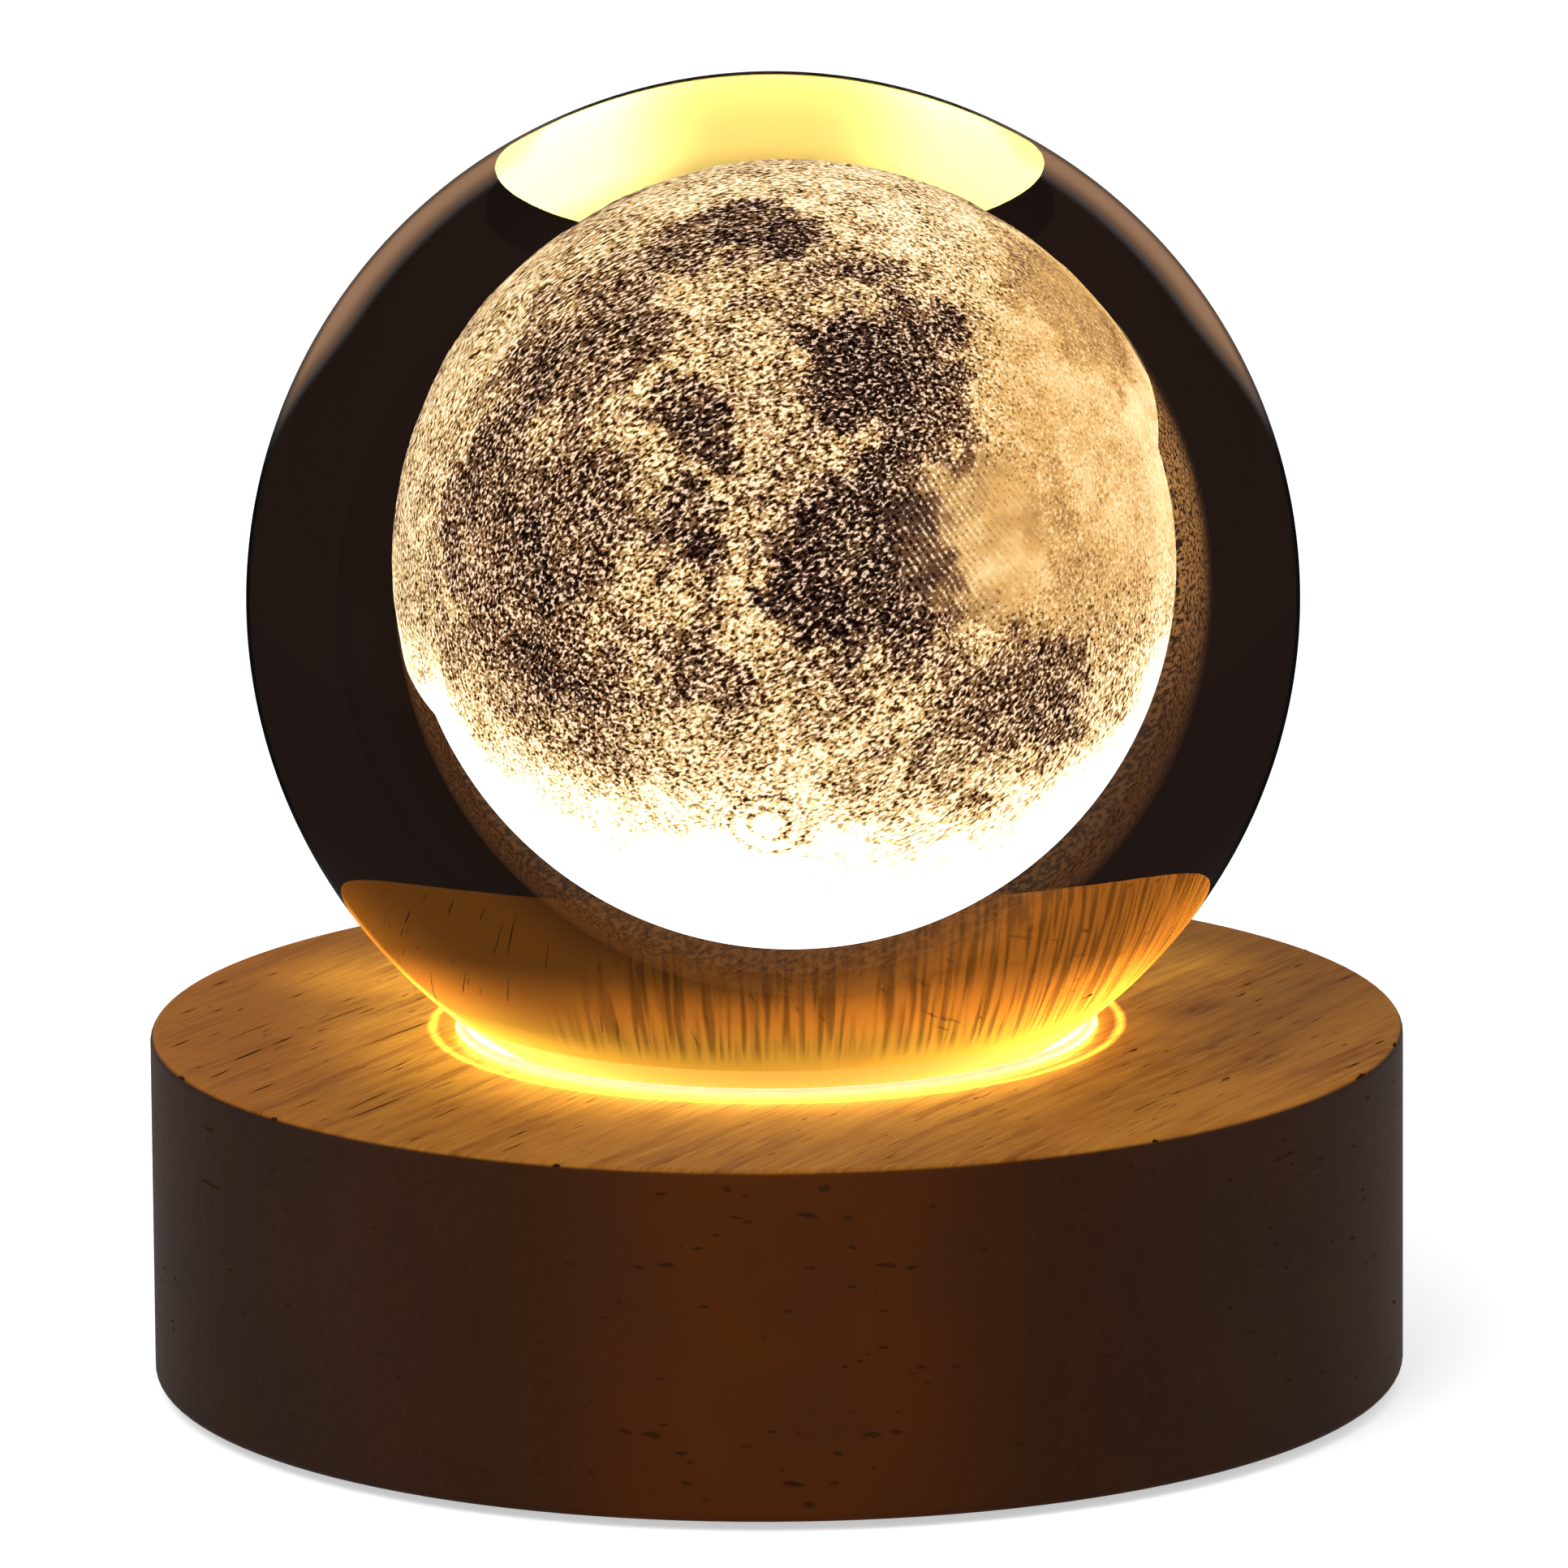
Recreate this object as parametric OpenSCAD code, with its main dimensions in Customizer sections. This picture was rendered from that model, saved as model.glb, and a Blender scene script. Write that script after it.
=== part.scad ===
// Crystal ball lamp: a glass ball with an engraved moon, seated in a turned wooden base
// that holds an LED board, a power board with its inlet, and a push switch at the back.
// Millimetres, +Z up. The origin is on the table, under the axis of the base; -Y is the front.

/* [Crystal ball] */
// Diameter of the glass ball
ball_d = 60; // [56:1:66]
// Depth that the ball sinks below the top face of the base
ball_sink = 5.2; // [5:0.1:6]
// Diameter of the moon engraved inside the ball
moon_d = 30.7; // [24:0.1:36]
// Offset of the moon's centre to the right of the ball's centre
moon_right = 0.8; // [-2:0.05:2]
// Offset of the moon's centre above the ball's centre
moon_up = 1.6; // [-2:0.05:3]
// Offset of the darker far side to the right of the moon
limb_right = 0.4; // [0.3:0.05:1]
// Offset of the far side behind the moon
limb_back = 0.55; // [0.5:0.05:1.2]
// Offset of the far side below the moon
limb_down = 1.25; // [0.8:0.05:1.8]
// Depth of the largest craters
crater_depth = 0.3; // [0.1:0.05:0.5]
// Number of craters round the moon
crater_count = 46; // [10:1:60]

/* [Seat] */
// Thickness of the silicone ring under the ball
ring_t = 1.6; // [1.2:0.1:2]
// Width of the light gap between the ball and the wood, at the top face
rim_gap = 1.5; // [1.3:0.1:2]
// Height that the light cup's rim stands above the wood
rim_proud = 0.4; // [0:0.1:0.5]
// Thickness of the light cup's flange under the ring
flange_t = 1.1; // [0.8:0.1:1.6]
// Wall of the light cup's skirt
skirt_t = 1; // [0.8:0.1:1.5]

/* [Wooden base] */
// Diameter of the turned wooden body
base_d = 71.7; // [69:0.1:80]
// Height of the turned wooden body
base_h = 20.1; // [19:0.1:24]
// Rounding of the top edge
top_edge = 0.5; // [0.2:0.1:1.5]
// Rounding of the bottom edge
bottom_edge = 0.6; // [0.3:0.1:2]
// Width of the wall between the pocket and the outside
wall_t = 9; // [8.5:0.1:10]
// Thickness of the wood above the pocket
web_t = 7.7; // [7.4:0.1:8.5]

/* [Bottom cover] */
// Thickness of the bottom cover
cover_t = 2; // [1.6:0.1:2.4]
// Width of the ledge that the cover sits on
ledge_w = 5.5; // [5:0.1:6]
// Diameter of a rubber foot
foot_d = 8; // [6:0.5:9]
// Thickness of a rubber foot
foot_t = 1.2; // [1:0.1:1.4]
// Height that a foot stands out of the cover
foot_proud = 0.5; // [0.3:0.1:0.8]
// Distance of the feet from the axis
foot_r = 25; // [22:0.5:26]

/* [LED board] */
// Thickness of both circuit boards
board_t = 1.2; // [0.8:0.1:1.4]
// Number of LEDs
led_count = 6; // [3:1:8]
// Radius of the circle of LEDs
led_ring_r = 7.5; // [6:0.5:9]
// Height of an LED package
led_h = 0.8; // [0.6:0.1:1]

/* [Port and switch] */
// Height of the inlet and the push button above the table
port_z = 7.6; // [7.5:0.1:7.7]
// Distance of the inlet from the centre line
inlet_x = 6.5; // [6:0.1:7]
// Distance of the push button from the centre line
button_x = 8; // [7.5:0.1:8.5]
// Diameter of the push button
button_d = 5; // [4:0.1:5.6]
// Travel of the push button
button_travel = 1.2; // [0.8:0.1:1.4]
// Height that the push button stands out of the insert
button_proud = 1.5; // [1.4:0.1:1.7]
// Width of the window in the wood
window_w = 27; // [26.6:0.1:28]
// Height of the window in the wood
window_h = 7.6; // [7.2:0.1:7.8]
// Thickness of the insert in the window
insert_t = 3; // [2:0.1:3.4]
// Depth of the insert's face behind the roundest point of the wood
insert_inset = 3; // [2.8:0.1:3.2]

/* [Leads] */
// Diameter of a lead
lead_d = 1.1; // [0.8:0.1:1.4]

/* [Hidden] */

// Clearances
slip = 0.1;        // between pieces that drop in
touch = 0.1;       // between the ball and the silicone ring
bite = 0.02;       // round a screw's shank in its pilot hole
cut = 1;           // extra length of a cutting tool past a face
round_fn = 64;

// Levels, from the table up
base_z = foot_proud;
cover_top = base_z + cover_t;
top_z = base_z + base_h;
ceiling_z = top_z - web_t;
led_board_z = ceiling_z - board_t;

// Ball and seat
ball_r = ball_d / 2;
ball_z = top_z - ball_sink + ball_r;
moon_r = moon_d / 2;
moon_centre = [moon_right, 0, ball_z + moon_up];
moon_gap = 0.05;
limb_r = moon_r + moon_gap;
limb_centre = moon_centre + [limb_right, limb_back, -limb_down];
limb_tilt = 12;
rim_r = sqrt(pow(ball_r, 2) - pow(ball_r - ball_sink, 2));
mouth_r = rim_r + rim_gap;
ring_r = rim_r - ring_t;
ring_z = ball_z - sqrt(pow(ball_r + ring_t / 2 + touch, 2) - pow(ring_r, 2));
groove_z = ring_z - ring_t / 2 - slip / 2;
flange_z = groove_z - flange_t;
skirt_r = ring_r - ring_t / 2 - 0.4;
bore_r = skirt_r + slip;
cup_r = mouth_r - slip;
groove_wall = ring_r + ring_t / 2 + slip / 2;

// Wooden body and cover
base_r = base_d / 2;
pocket_r = base_r - wall_t;
window_root = sqrt(pow(pocket_r, 2) - pow(window_w / 2, 2)) - cut;
rebate_r = pocket_r + ledge_w;
cover_screw_r = pocket_r + ledge_w / 2;
cover_screw_count = 4;
cover_screw_d = 2.4;
cover_screw_l = 8;
csk_d = 4.8;
csk_h = 1.2;

// LED board
led_board_r = mouth_r + 1.8;
led_screw_r = (bore_r + led_board_r) / 2;
led_screw_d = 1.8;
led_screw_l = 4;
led_size = [3.5, 2.8];
led_window_d = 2.2;
led_window_t = 0.15;
chip_size = [2, 1.2, 0.5];
chip_ring_r = led_ring_r + 3.6;

// Inlet: the shell and tongue of a small oval power socket
shell_w = 8.94;
shell_h = 3.2;
shell_t = 0.3;
shell_l = 7.4;
tongue = [6.7, 4.6, 0.7];

// Insert, power board and switch
insert_y = base_r - insert_inset;
insert_back = insert_y - insert_t;
board_top = port_z - shell_h / 2;
board_z = board_top - board_t;
board_w = window_w - 2;
board_l = 13.7;
board_front = insert_back - 0.3;
board_back = board_front - board_l;
board_screw_edge = 3;
board_screw_x = board_w / 2 - board_screw_edge;
board_screw_y = board_back + board_screw_edge;
board_screw_d = 1.8;
board_screw_grip = 2.2;
boss_d = 4.4;
cap_flange_d = button_d + 1.2;
cap_flange_t = 1;
cap_back = insert_back - 0.2 - cap_flange_t;
switch_size = [7, 6, shell_h];
switch_front = cap_back - button_travel - 0.3;
stem_d = 2.4;
stem_l = 4.3;
notch_y = switch_front + slip;

// Leads
lead_edge = 1.7;
lead_from_y = board_back + lead_edge;
lead_to_y = 5;
lead_pitch = 3;
lead_lift = 5;

// Small parts of the power board: a regulator in the middle and two chips behind the inlet
regulator = [1.6, 3, 1.1];
regulator_x = 2.2;
parts_y = board_back + 5;
parts_pitch = 3.5;

module ring(r, t) {
    rotate_extrude($fn = round_fn) translate([r, 0]) circle(d = t, $fn = round_fn);
}

module disc(r, z0, z1) {
    translate([0, 0, z0]) cylinder(r = r, h = z1 - z0, $fn = round_fn);
}

module stadium(w, h) {
    square([w - h, h], center = true);
    for (side = [-1, 1]) translate([side * (w - h) / 2, 0]) circle(d = h, $fn = round_fn);
}

module rounded_rect(w, h, r) {
    square([w - 2 * r, h], center = true);
    square([w, h - 2 * r], center = true);
    for (sx = [-1, 1], sy = [-1, 1])
        translate([sx * (w / 2 - r), sy * (h / 2 - r)]) circle(r = r, $fn = round_fn);
}

// Stands an outline drawn in X and Z on the plane y0 and extrudes it to y1
module along_y(y0, y1) {
    translate([0, y1, 0]) rotate([90, 0, 0]) linear_extrude(y1 - y0) children();
}

module at_angles(count, r, start = 0) {
    for (i = [0 : count - 1]) rotate([0, 0, start + i * 360 / count]) translate([r, 0, 0]) children();
}

// A screw along +Z with its head's underside at z = 0 and its slot below
module pan_screw(d, l) {
    head_r = d;
    head_h = 0.65 * d;
    difference() {
        union() {
            translate([0, 0, -head_h]) cylinder(r1 = 0.75 * head_r, r2 = head_r, h = head_h, $fn = round_fn);
            cylinder(d = d, h = l - d / 2, $fn = round_fn);
            translate([0, 0, l - d / 2]) cylinder(d1 = d, d2 = d / 4, h = d / 2, $fn = round_fn);
        }
        drive_cross(0.6 * head_r, head_h);
    }
}

module drive_cross(reach, head_h) {
    for (turn = [0, 90]) rotate([0, 0, turn])
        translate([-reach, -reach / 5, -head_h - cut]) cube([2 * reach, 2 * reach / 5, cut + head_h / 2]);
}

// Crystal ball, with the space that the engraving fills
module crystal_ball() {
    color("dimgray", 0.35) difference() {
        translate([0, 0, ball_z]) sphere(r = ball_r, $fn = 96);
        translate(moon_centre) sphere(r = moon_r + moon_gap, $fn = 96);
        far_half(moon_gap);
    }
}

// The half of the far side's sphere behind a tilted plane. Its seam lies where the moon covers it.
module far_half(margin) {
    reach = 2 * limb_r;
    intersection() {
        translate(limb_centre) rotate([0, 0, 115]) sphere(r = limb_r + margin, $fn = 96);
        translate(moon_centre) rotate([-limb_tilt, 0, 0])
            translate([-reach, -margin, -reach]) cube([2 * reach, reach, 2 * reach]);
    }
}

// Craters stand on a spiral from pole to pole. Their sizes follow a repeating series.
// Longitudes run from the meridian at the back, which no crater crosses.
golden = 137.508;
function crater_lat(i) = asin(1 - (2 * i + 1) / crater_count);
function crater_lon(i) = (i + 0.5) * golden;
function crater_share(i) = 0.3 + 0.7 * pow(abs(sin(i * 77.7)), 3);
function off_back(i) = cos(crater_lon(i)) < 0 ? moon_r
    : moon_r * cos(crater_lat(i)) * abs(sin(crater_lon(i)));
crater_mouth = moon_d / 16;

module crater(share) {
    depth = crater_depth * share;
    mouth = crater_mouth * share;
    bowl_r = (pow(mouth, 2) + pow(depth, 2)) / (2 * depth);
    translate([moon_r - depth + bowl_r, 0, 0]) sphere(r = bowl_r, $fn = 48);
}

module engraved_moon() {
    color("wheat") translate(moon_centre) difference() {
        rotate([0, 0, 90]) sphere(r = moon_r, $fn = 96);
        for (i = [0 : crater_count - 1]) if (off_back(i) > 1.2 * crater_mouth)
            rotate([0, 0, 90 + crater_lon(i)]) rotate([0, -crater_lat(i), 0]) crater(crater_share(i));
    }
}

// The far side of the engraving, a lune that shows past the moon's lower right edge
module moon_dark_limb() {
    color("saddlebrown") difference() {
        far_half(0);
        translate(moon_centre) sphere(r = moon_r + moon_gap, $fn = 96);
    }
}

module seat_ring() {
    color("white", 0.6) translate([0, 0, ring_z]) ring(ring_r, ring_t);
}

// Light cup: the outer rim carries light up round the ball, and the skirt guides it down to the LEDs
module light_cup() {
    lip_z = ring_z - 0.1;
    rim_low = groove_wall + 0.01;
    rim_z = top_z + rim_proud;
    rim_t = 0.4;
    rim_round = 0.15;
    inner_rim_z = ball_z - sqrt(pow(ball_r, 2) - pow(groove_wall, 2)) - 0.5;
    color("ivory") rotate_extrude($fn = round_fn) polygon([
        [skirt_r - skirt_t, led_board_z + board_t + 0.2],
        [skirt_r, led_board_z + board_t + 0.2],
        [skirt_r, flange_z],
        [cup_r, flange_z],
        [cup_r, rim_z - rim_round],
        [cup_r - rim_round, rim_z],
        [cup_r - rim_t, rim_z],
        [rim_low, inner_rim_z],
        [rim_low, groove_z],
        [ring_r - ring_t / 2 - slip / 2, groove_z],
        [ring_r - ring_t / 2 - slip / 2, lip_z],
        [skirt_r - skirt_t, lip_z - 0.4]
    ]);
}

// Outline of the turned body, with both outer edges rounded
module base_outline() {
    steps = 12;
    top_arc = [for (i = [0 : steps]) let (a = i * 90 / steps)
        [base_r - top_edge + top_edge * cos(a), top_z - top_edge + top_edge * sin(a)]];
    bottom_arc = [for (i = [0 : steps]) let (a = -90 + i * 90 / steps)
        [base_r - bottom_edge + bottom_edge * cos(a), base_z + bottom_edge + bottom_edge * sin(a)]];
    polygon(concat([[0, base_z]], bottom_arc, top_arc, [[0, top_z]]));
}

module window_outline(inset) {
    rounded_rect(window_w - 2 * inset, window_h - 2 * inset, 1.5 - inset);
}

module wood_base() {
    color("peru") difference() {
        rotate_extrude($fn = 128) base_outline();
        disc(mouth_r, flange_z, top_z + cut);
        disc(bore_r, ceiling_z - cut, flange_z + cut / 2);
        disc(pocket_r, base_z - cut, ceiling_z);
        disc(rebate_r, base_z - cut, cover_top);
        along_y(window_root, base_r + cut) translate([0, port_z]) window_outline(0);
        at_angles(cover_screw_count, cover_screw_r, 45)
            disc(cover_screw_d / 2 + bite, cover_top - cut, base_z + cover_screw_l + cut);
        at_angles(3, led_screw_r, -90)
            disc(led_screw_d / 2 + bite, ceiling_z - cut, led_board_z + led_screw_l + 0.3);
    }
}

module led_board() {
    color("white") difference() {
        disc(led_board_r, led_board_z, ceiling_z);
        at_angles(3, led_screw_r, -90) disc(led_screw_d / 2 + slip, led_board_z - cut, ceiling_z + cut);
    }
}

module on_led_ring(r, start = 0) {
    translate([0, 0, ceiling_z]) at_angles(led_count, r, start) children();
}

module led_chips() {
    color("snow") on_led_ring(led_ring_r) difference() {
        translate([-led_size[0] / 2, -led_size[1] / 2, 0]) cube([led_size[0], led_size[1], led_h]);
        translate([0, 0, led_h - led_window_t]) cylinder(d = led_window_d, h = cut, $fn = round_fn);
    }
}

module led_phosphors() {
    color("gold") on_led_ring(led_ring_r)
        translate([0, 0, led_h - led_window_t]) cylinder(d = led_window_d, h = led_window_t, $fn = round_fn);
}

module led_resistors() {
    color("black") on_led_ring(chip_ring_r, 180 / led_count)
        translate([-chip_size[0] / 2, -chip_size[1] / 2, 0]) cube(chip_size);
}

module led_screws() {
    color("silver") at_angles(3, led_screw_r, -90)
        translate([0, 0, led_board_z]) pan_screw(led_screw_d, led_screw_l);
}

// A lead is one tube swept along a curve that leaves one board upright and meets the other upright
function bezier(p, t) = pow(1 - t, 3) * p[0] + 3 * t * pow(1 - t, 2) * p[1]
    + 3 * t * t * (1 - t) * p[2] + pow(t, 3) * p[3];
function bezier_slope(p, t) = 3 * pow(1 - t, 2) * (p[1] - p[0])
    + 6 * t * (1 - t) * (p[2] - p[1]) + 3 * t * t * (p[3] - p[2]);
function unit(v) = v / norm(v);

module swept_lead(x0, x1) {
    sides = 8;
    rings = 28;
    route = [[x0, lead_from_y, board_top], [x0, lead_from_y, board_top + lead_lift],
        [x1, lead_to_y, led_board_z - lead_lift], [x1, lead_to_y, led_board_z]];
    across = [1, 0, 0];
    points = [for (i = [0 : rings]) let (t = i / rings, way = unit(bezier_slope(route, t)),
            up = unit(cross(way, across)), side = cross(up, way))
        for (k = [0 : sides - 1]) let (a = k * 360 / sides)
            bezier(route, t) + lead_d / 2 * (cos(a) * side + sin(a) * up)];
    walls = [for (i = [0 : rings - 1], k = [0 : sides - 1]) let (n = (k + 1) % sides)
        [i * sides + k, (i + 1) * sides + k, (i + 1) * sides + n, i * sides + n]];
    first = [for (k = [0 : sides - 1]) k];
    last = [for (k = [0 : sides - 1]) rings * sides + sides - 1 - k];
    polyhedron(points = points, faces = concat([first], walls, [last]), convexity = 4);
}

module lead_red() {
    color("red") swept_lead(-lead_pitch / 2, -lead_pitch / 2);
}

module lead_black() {
    color("black") swept_lead(lead_pitch / 2, lead_pitch / 2);
}

module power_board() {
    color("darkgreen") difference() {
        translate([-board_w / 2, board_back, board_z]) cube([board_w, board_front - board_back, board_t]);
        translate([button_x - switch_size[0] / 2 - 0.3, notch_y, board_z - cut])
            cube([board_w, board_front, board_t + 2 * cut]);
        board_screw_spots() disc(board_screw_d / 2 + slip, board_z - cut, board_top + cut);
    }
}

module board_screw_spots() {
    for (side = [-1, 1]) translate([side * board_screw_x, board_screw_y, 0]) children();
}

// The small parts soldered to the power board: a regulator and two chip resistors
module smd_parts() {
    color("dimgray") {
        translate([regulator_x, parts_y, board_top]) cube(regulator);
        for (i = [-1, 0]) translate([-inlet_x + i * parts_pitch + slip, parts_y + 1, board_top]) cube(chip_size);
    }
}

module board_screws() {
    color("silver") board_screw_spots()
        translate([0, 0, board_top]) rotate([180, 0, 0]) pan_screw(board_screw_d, board_t + board_screw_grip);
}

module at_inlet() {
    translate([-inlet_x, 0, port_z]) children();
}

module usb_shell() {
    color("gainsboro") at_inlet() difference() {
        along_y(insert_y - shell_l, insert_y) stadium(shell_w, shell_h);
        along_y(insert_y - shell_l + shell_t, insert_y + cut)
            stadium(shell_w - 2 * shell_t, shell_h - 2 * shell_t);
    }
}

// The tongue stands on a block that fills the back of the shell
module usb_tongue() {
    root_y = insert_y - shell_l + shell_t;
    root_l = shell_l - shell_t - tongue[1] - 0.8;
    color("black") at_inlet() {
        along_y(root_y, root_y + root_l) stadium(shell_w - 2 * shell_t, shell_h - 2 * shell_t);
        translate([-tongue[0] / 2, root_y + root_l - cut, -tongue[2] / 2])
            cube([tongue[0], tongue[1] + cut, tongue[2]]);
    }
}

module at_button() {
    translate([button_x, 0, port_z]) children();
}

module switch_body() {
    color("darkslategray") difference() {
        at_button() translate([-switch_size[0] / 2, switch_front - switch_size[1], -switch_size[2] / 2])
            cube(switch_size);
        at_button() along_y(cap_back - stem_l - button_travel - 0.3, switch_front + cut)
            circle(d = stem_d + 2 * slip, $fn = round_fn);
    }
}

// Push button: domed cap, the flange that keeps it behind the insert, and the switch's stem
module push_button() {
    face_y = insert_y + button_proud;
    edge = 0.5;
    color("black") at_button() rotate([-90, 0, 0]) rotate_extrude($fn = round_fn) polygon([
        [0, cap_back - stem_l],
        [stem_d / 2, cap_back - stem_l],
        [stem_d / 2, cap_back],
        [cap_flange_d / 2, cap_back],
        [cap_flange_d / 2, cap_back + cap_flange_t],
        [button_d / 2, cap_back + cap_flange_t],
        [button_d / 2, face_y - edge],
        [button_d / 2 - edge, face_y - edge / 4],
        [0, face_y]
    ]);
}

// Insert that closes the window round the inlet and the push button
module port_insert() {
    color("black") difference() {
        along_y(insert_back, insert_y) translate([0, port_z]) window_outline(slip);
        at_inlet() along_y(insert_back - cut, insert_y + cut)
            stadium(shell_w + 2 * slip, shell_h + 2 * slip);
        at_button() along_y(insert_back - cut, insert_y + cut)
            circle(d = button_d + 4 * slip, $fn = round_fn);
    }
}

module bottom_cover() {
    color("dimgray") difference() {
        union() {
            disc(rebate_r - slip, base_z, cover_top);
            board_screw_spots() disc(boss_d / 2, cover_top - cut, board_z);
        }
        board_screw_spots() disc(board_screw_d / 2 + bite, base_z + 1.2, board_z + cut);
        at_angles(4, foot_r) disc(foot_d / 2 + slip, base_z - cut, foot_t);
        at_angles(cover_screw_count, cover_screw_r, 45) {
            disc(cover_screw_d / 2 + 2 * slip, base_z - cut, cover_top + cut);
            translate([0, 0, base_z]) cylinder(d1 = csk_d + 2 * slip, d2 = cover_screw_d + 2 * slip, h = csk_h,
                $fn = round_fn);
        }
    }
}

module countersunk_screw(d, l) {
    difference() {
        union() {
            cylinder(d1 = csk_d, d2 = d, h = csk_h, $fn = round_fn);
            cylinder(d = d, h = l - d / 2, $fn = round_fn);
            translate([0, 0, l - d / 2]) cylinder(d1 = d, d2 = d / 4, h = d / 2, $fn = round_fn);
        }
        for (turn = [0, 90]) rotate([0, 0, turn])
            translate([-csk_d / 4, -0.3, -cut]) cube([csk_d / 2, 0.6, cut + 0.7]);
    }
}

module cover_screws() {
    color("silver") at_angles(cover_screw_count, cover_screw_r, 45)
        translate([0, 0, base_z]) countersunk_screw(cover_screw_d, cover_screw_l);
}

module rubber_feet() {
    color("black") at_angles(4, foot_r) disc(foot_d / 2, 0, foot_t);
}

crystal_ball();
engraved_moon();
moon_dark_limb();
seat_ring();
light_cup();
wood_base();
led_board();
led_chips();
led_phosphors();
led_resistors();
led_screws();
lead_red();
lead_black();
power_board();
smd_parts();
board_screws();
usb_shell();
usb_tongue();
switch_body();
push_button();
port_insert();
bottom_cover();
cover_screws();
rubber_feet();
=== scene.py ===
"""The looks of the crystal ball lamp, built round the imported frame. Metres, +Z up, -Y the front."""

import itertools
import math
import random

import bpy
from mathutils import Matrix, Vector
from mathutils import noise as mnoise


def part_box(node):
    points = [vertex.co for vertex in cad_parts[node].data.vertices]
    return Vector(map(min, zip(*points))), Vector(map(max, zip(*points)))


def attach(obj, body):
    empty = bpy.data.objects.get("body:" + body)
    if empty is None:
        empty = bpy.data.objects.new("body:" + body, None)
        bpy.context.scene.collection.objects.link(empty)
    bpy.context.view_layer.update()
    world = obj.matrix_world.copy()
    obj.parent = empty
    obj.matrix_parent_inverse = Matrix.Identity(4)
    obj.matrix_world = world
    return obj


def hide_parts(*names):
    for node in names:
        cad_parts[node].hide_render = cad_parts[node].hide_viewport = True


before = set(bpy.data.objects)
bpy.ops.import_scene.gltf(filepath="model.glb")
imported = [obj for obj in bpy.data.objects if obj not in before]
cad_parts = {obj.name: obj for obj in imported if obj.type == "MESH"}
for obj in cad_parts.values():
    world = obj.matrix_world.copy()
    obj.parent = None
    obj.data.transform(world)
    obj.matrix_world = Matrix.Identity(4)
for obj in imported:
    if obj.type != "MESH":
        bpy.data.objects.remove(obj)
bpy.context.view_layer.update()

MM = 0.001

# Places taken from the frame
ball_lo, ball_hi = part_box("crystal_ball")
moon_lo, moon_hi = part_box("engraved_moon")
wood_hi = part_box("wood_base")[1]
cup_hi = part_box("light_cup")[1]
BALL_R = (ball_hi.z - ball_lo.z) / 2
BALL_Z = (ball_hi.z + ball_lo.z) / 2
MOON_R = (moon_hi.z - moon_lo.z) / 2
MOON_C = (moon_lo + moon_hi) / 2
WOOD_R = wood_hi.x
TOP_Z = wood_hi.z
MOUTH_R = cup_hi.x + 0.1 * MM


# Camera

IMAGE_PX = 1932            # width and height of the photograph
FOCAL_PX = 19893
SENSOR_MM = 36
CAMERA_BACK = 30 * BALL_R
CAMERA_UP = TOP_Z + 7.0613 * BALL_R
CAMERA_RIGHT = 0.0178 * BALL_R
CAMERA_PITCH = 0.2164
CAMERA_ROLL = -0.0079


def make_camera():
    """A long lens that looks a little down on the lamp from the front."""
    data = bpy.data.cameras.new("camera")
    data.sensor_width = SENSOR_MM
    data.lens = FOCAL_PX / IMAGE_PX * SENSOR_MM
    data.clip_start = 0.01
    data.clip_end = 50
    camera = bpy.data.objects.new("camera", data)
    right, ahead = Vector((1, 0, 0)), Vector((0, math.cos(CAMERA_PITCH), -math.sin(CAMERA_PITCH)))
    up = right.cross(ahead)
    turned_right = right * math.cos(CAMERA_ROLL) + up * math.sin(CAMERA_ROLL)
    turned_up = up * math.cos(CAMERA_ROLL) - right * math.sin(CAMERA_ROLL)
    turn = Matrix((turned_right, turned_up, -ahead)).transposed().to_4x4()
    camera.matrix_world = Matrix.Translation((CAMERA_RIGHT, -CAMERA_BACK, CAMERA_UP)) @ turn
    bpy.context.scene.collection.objects.link(camera)
    bpy.context.scene.camera = camera


# Shader trees


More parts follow.
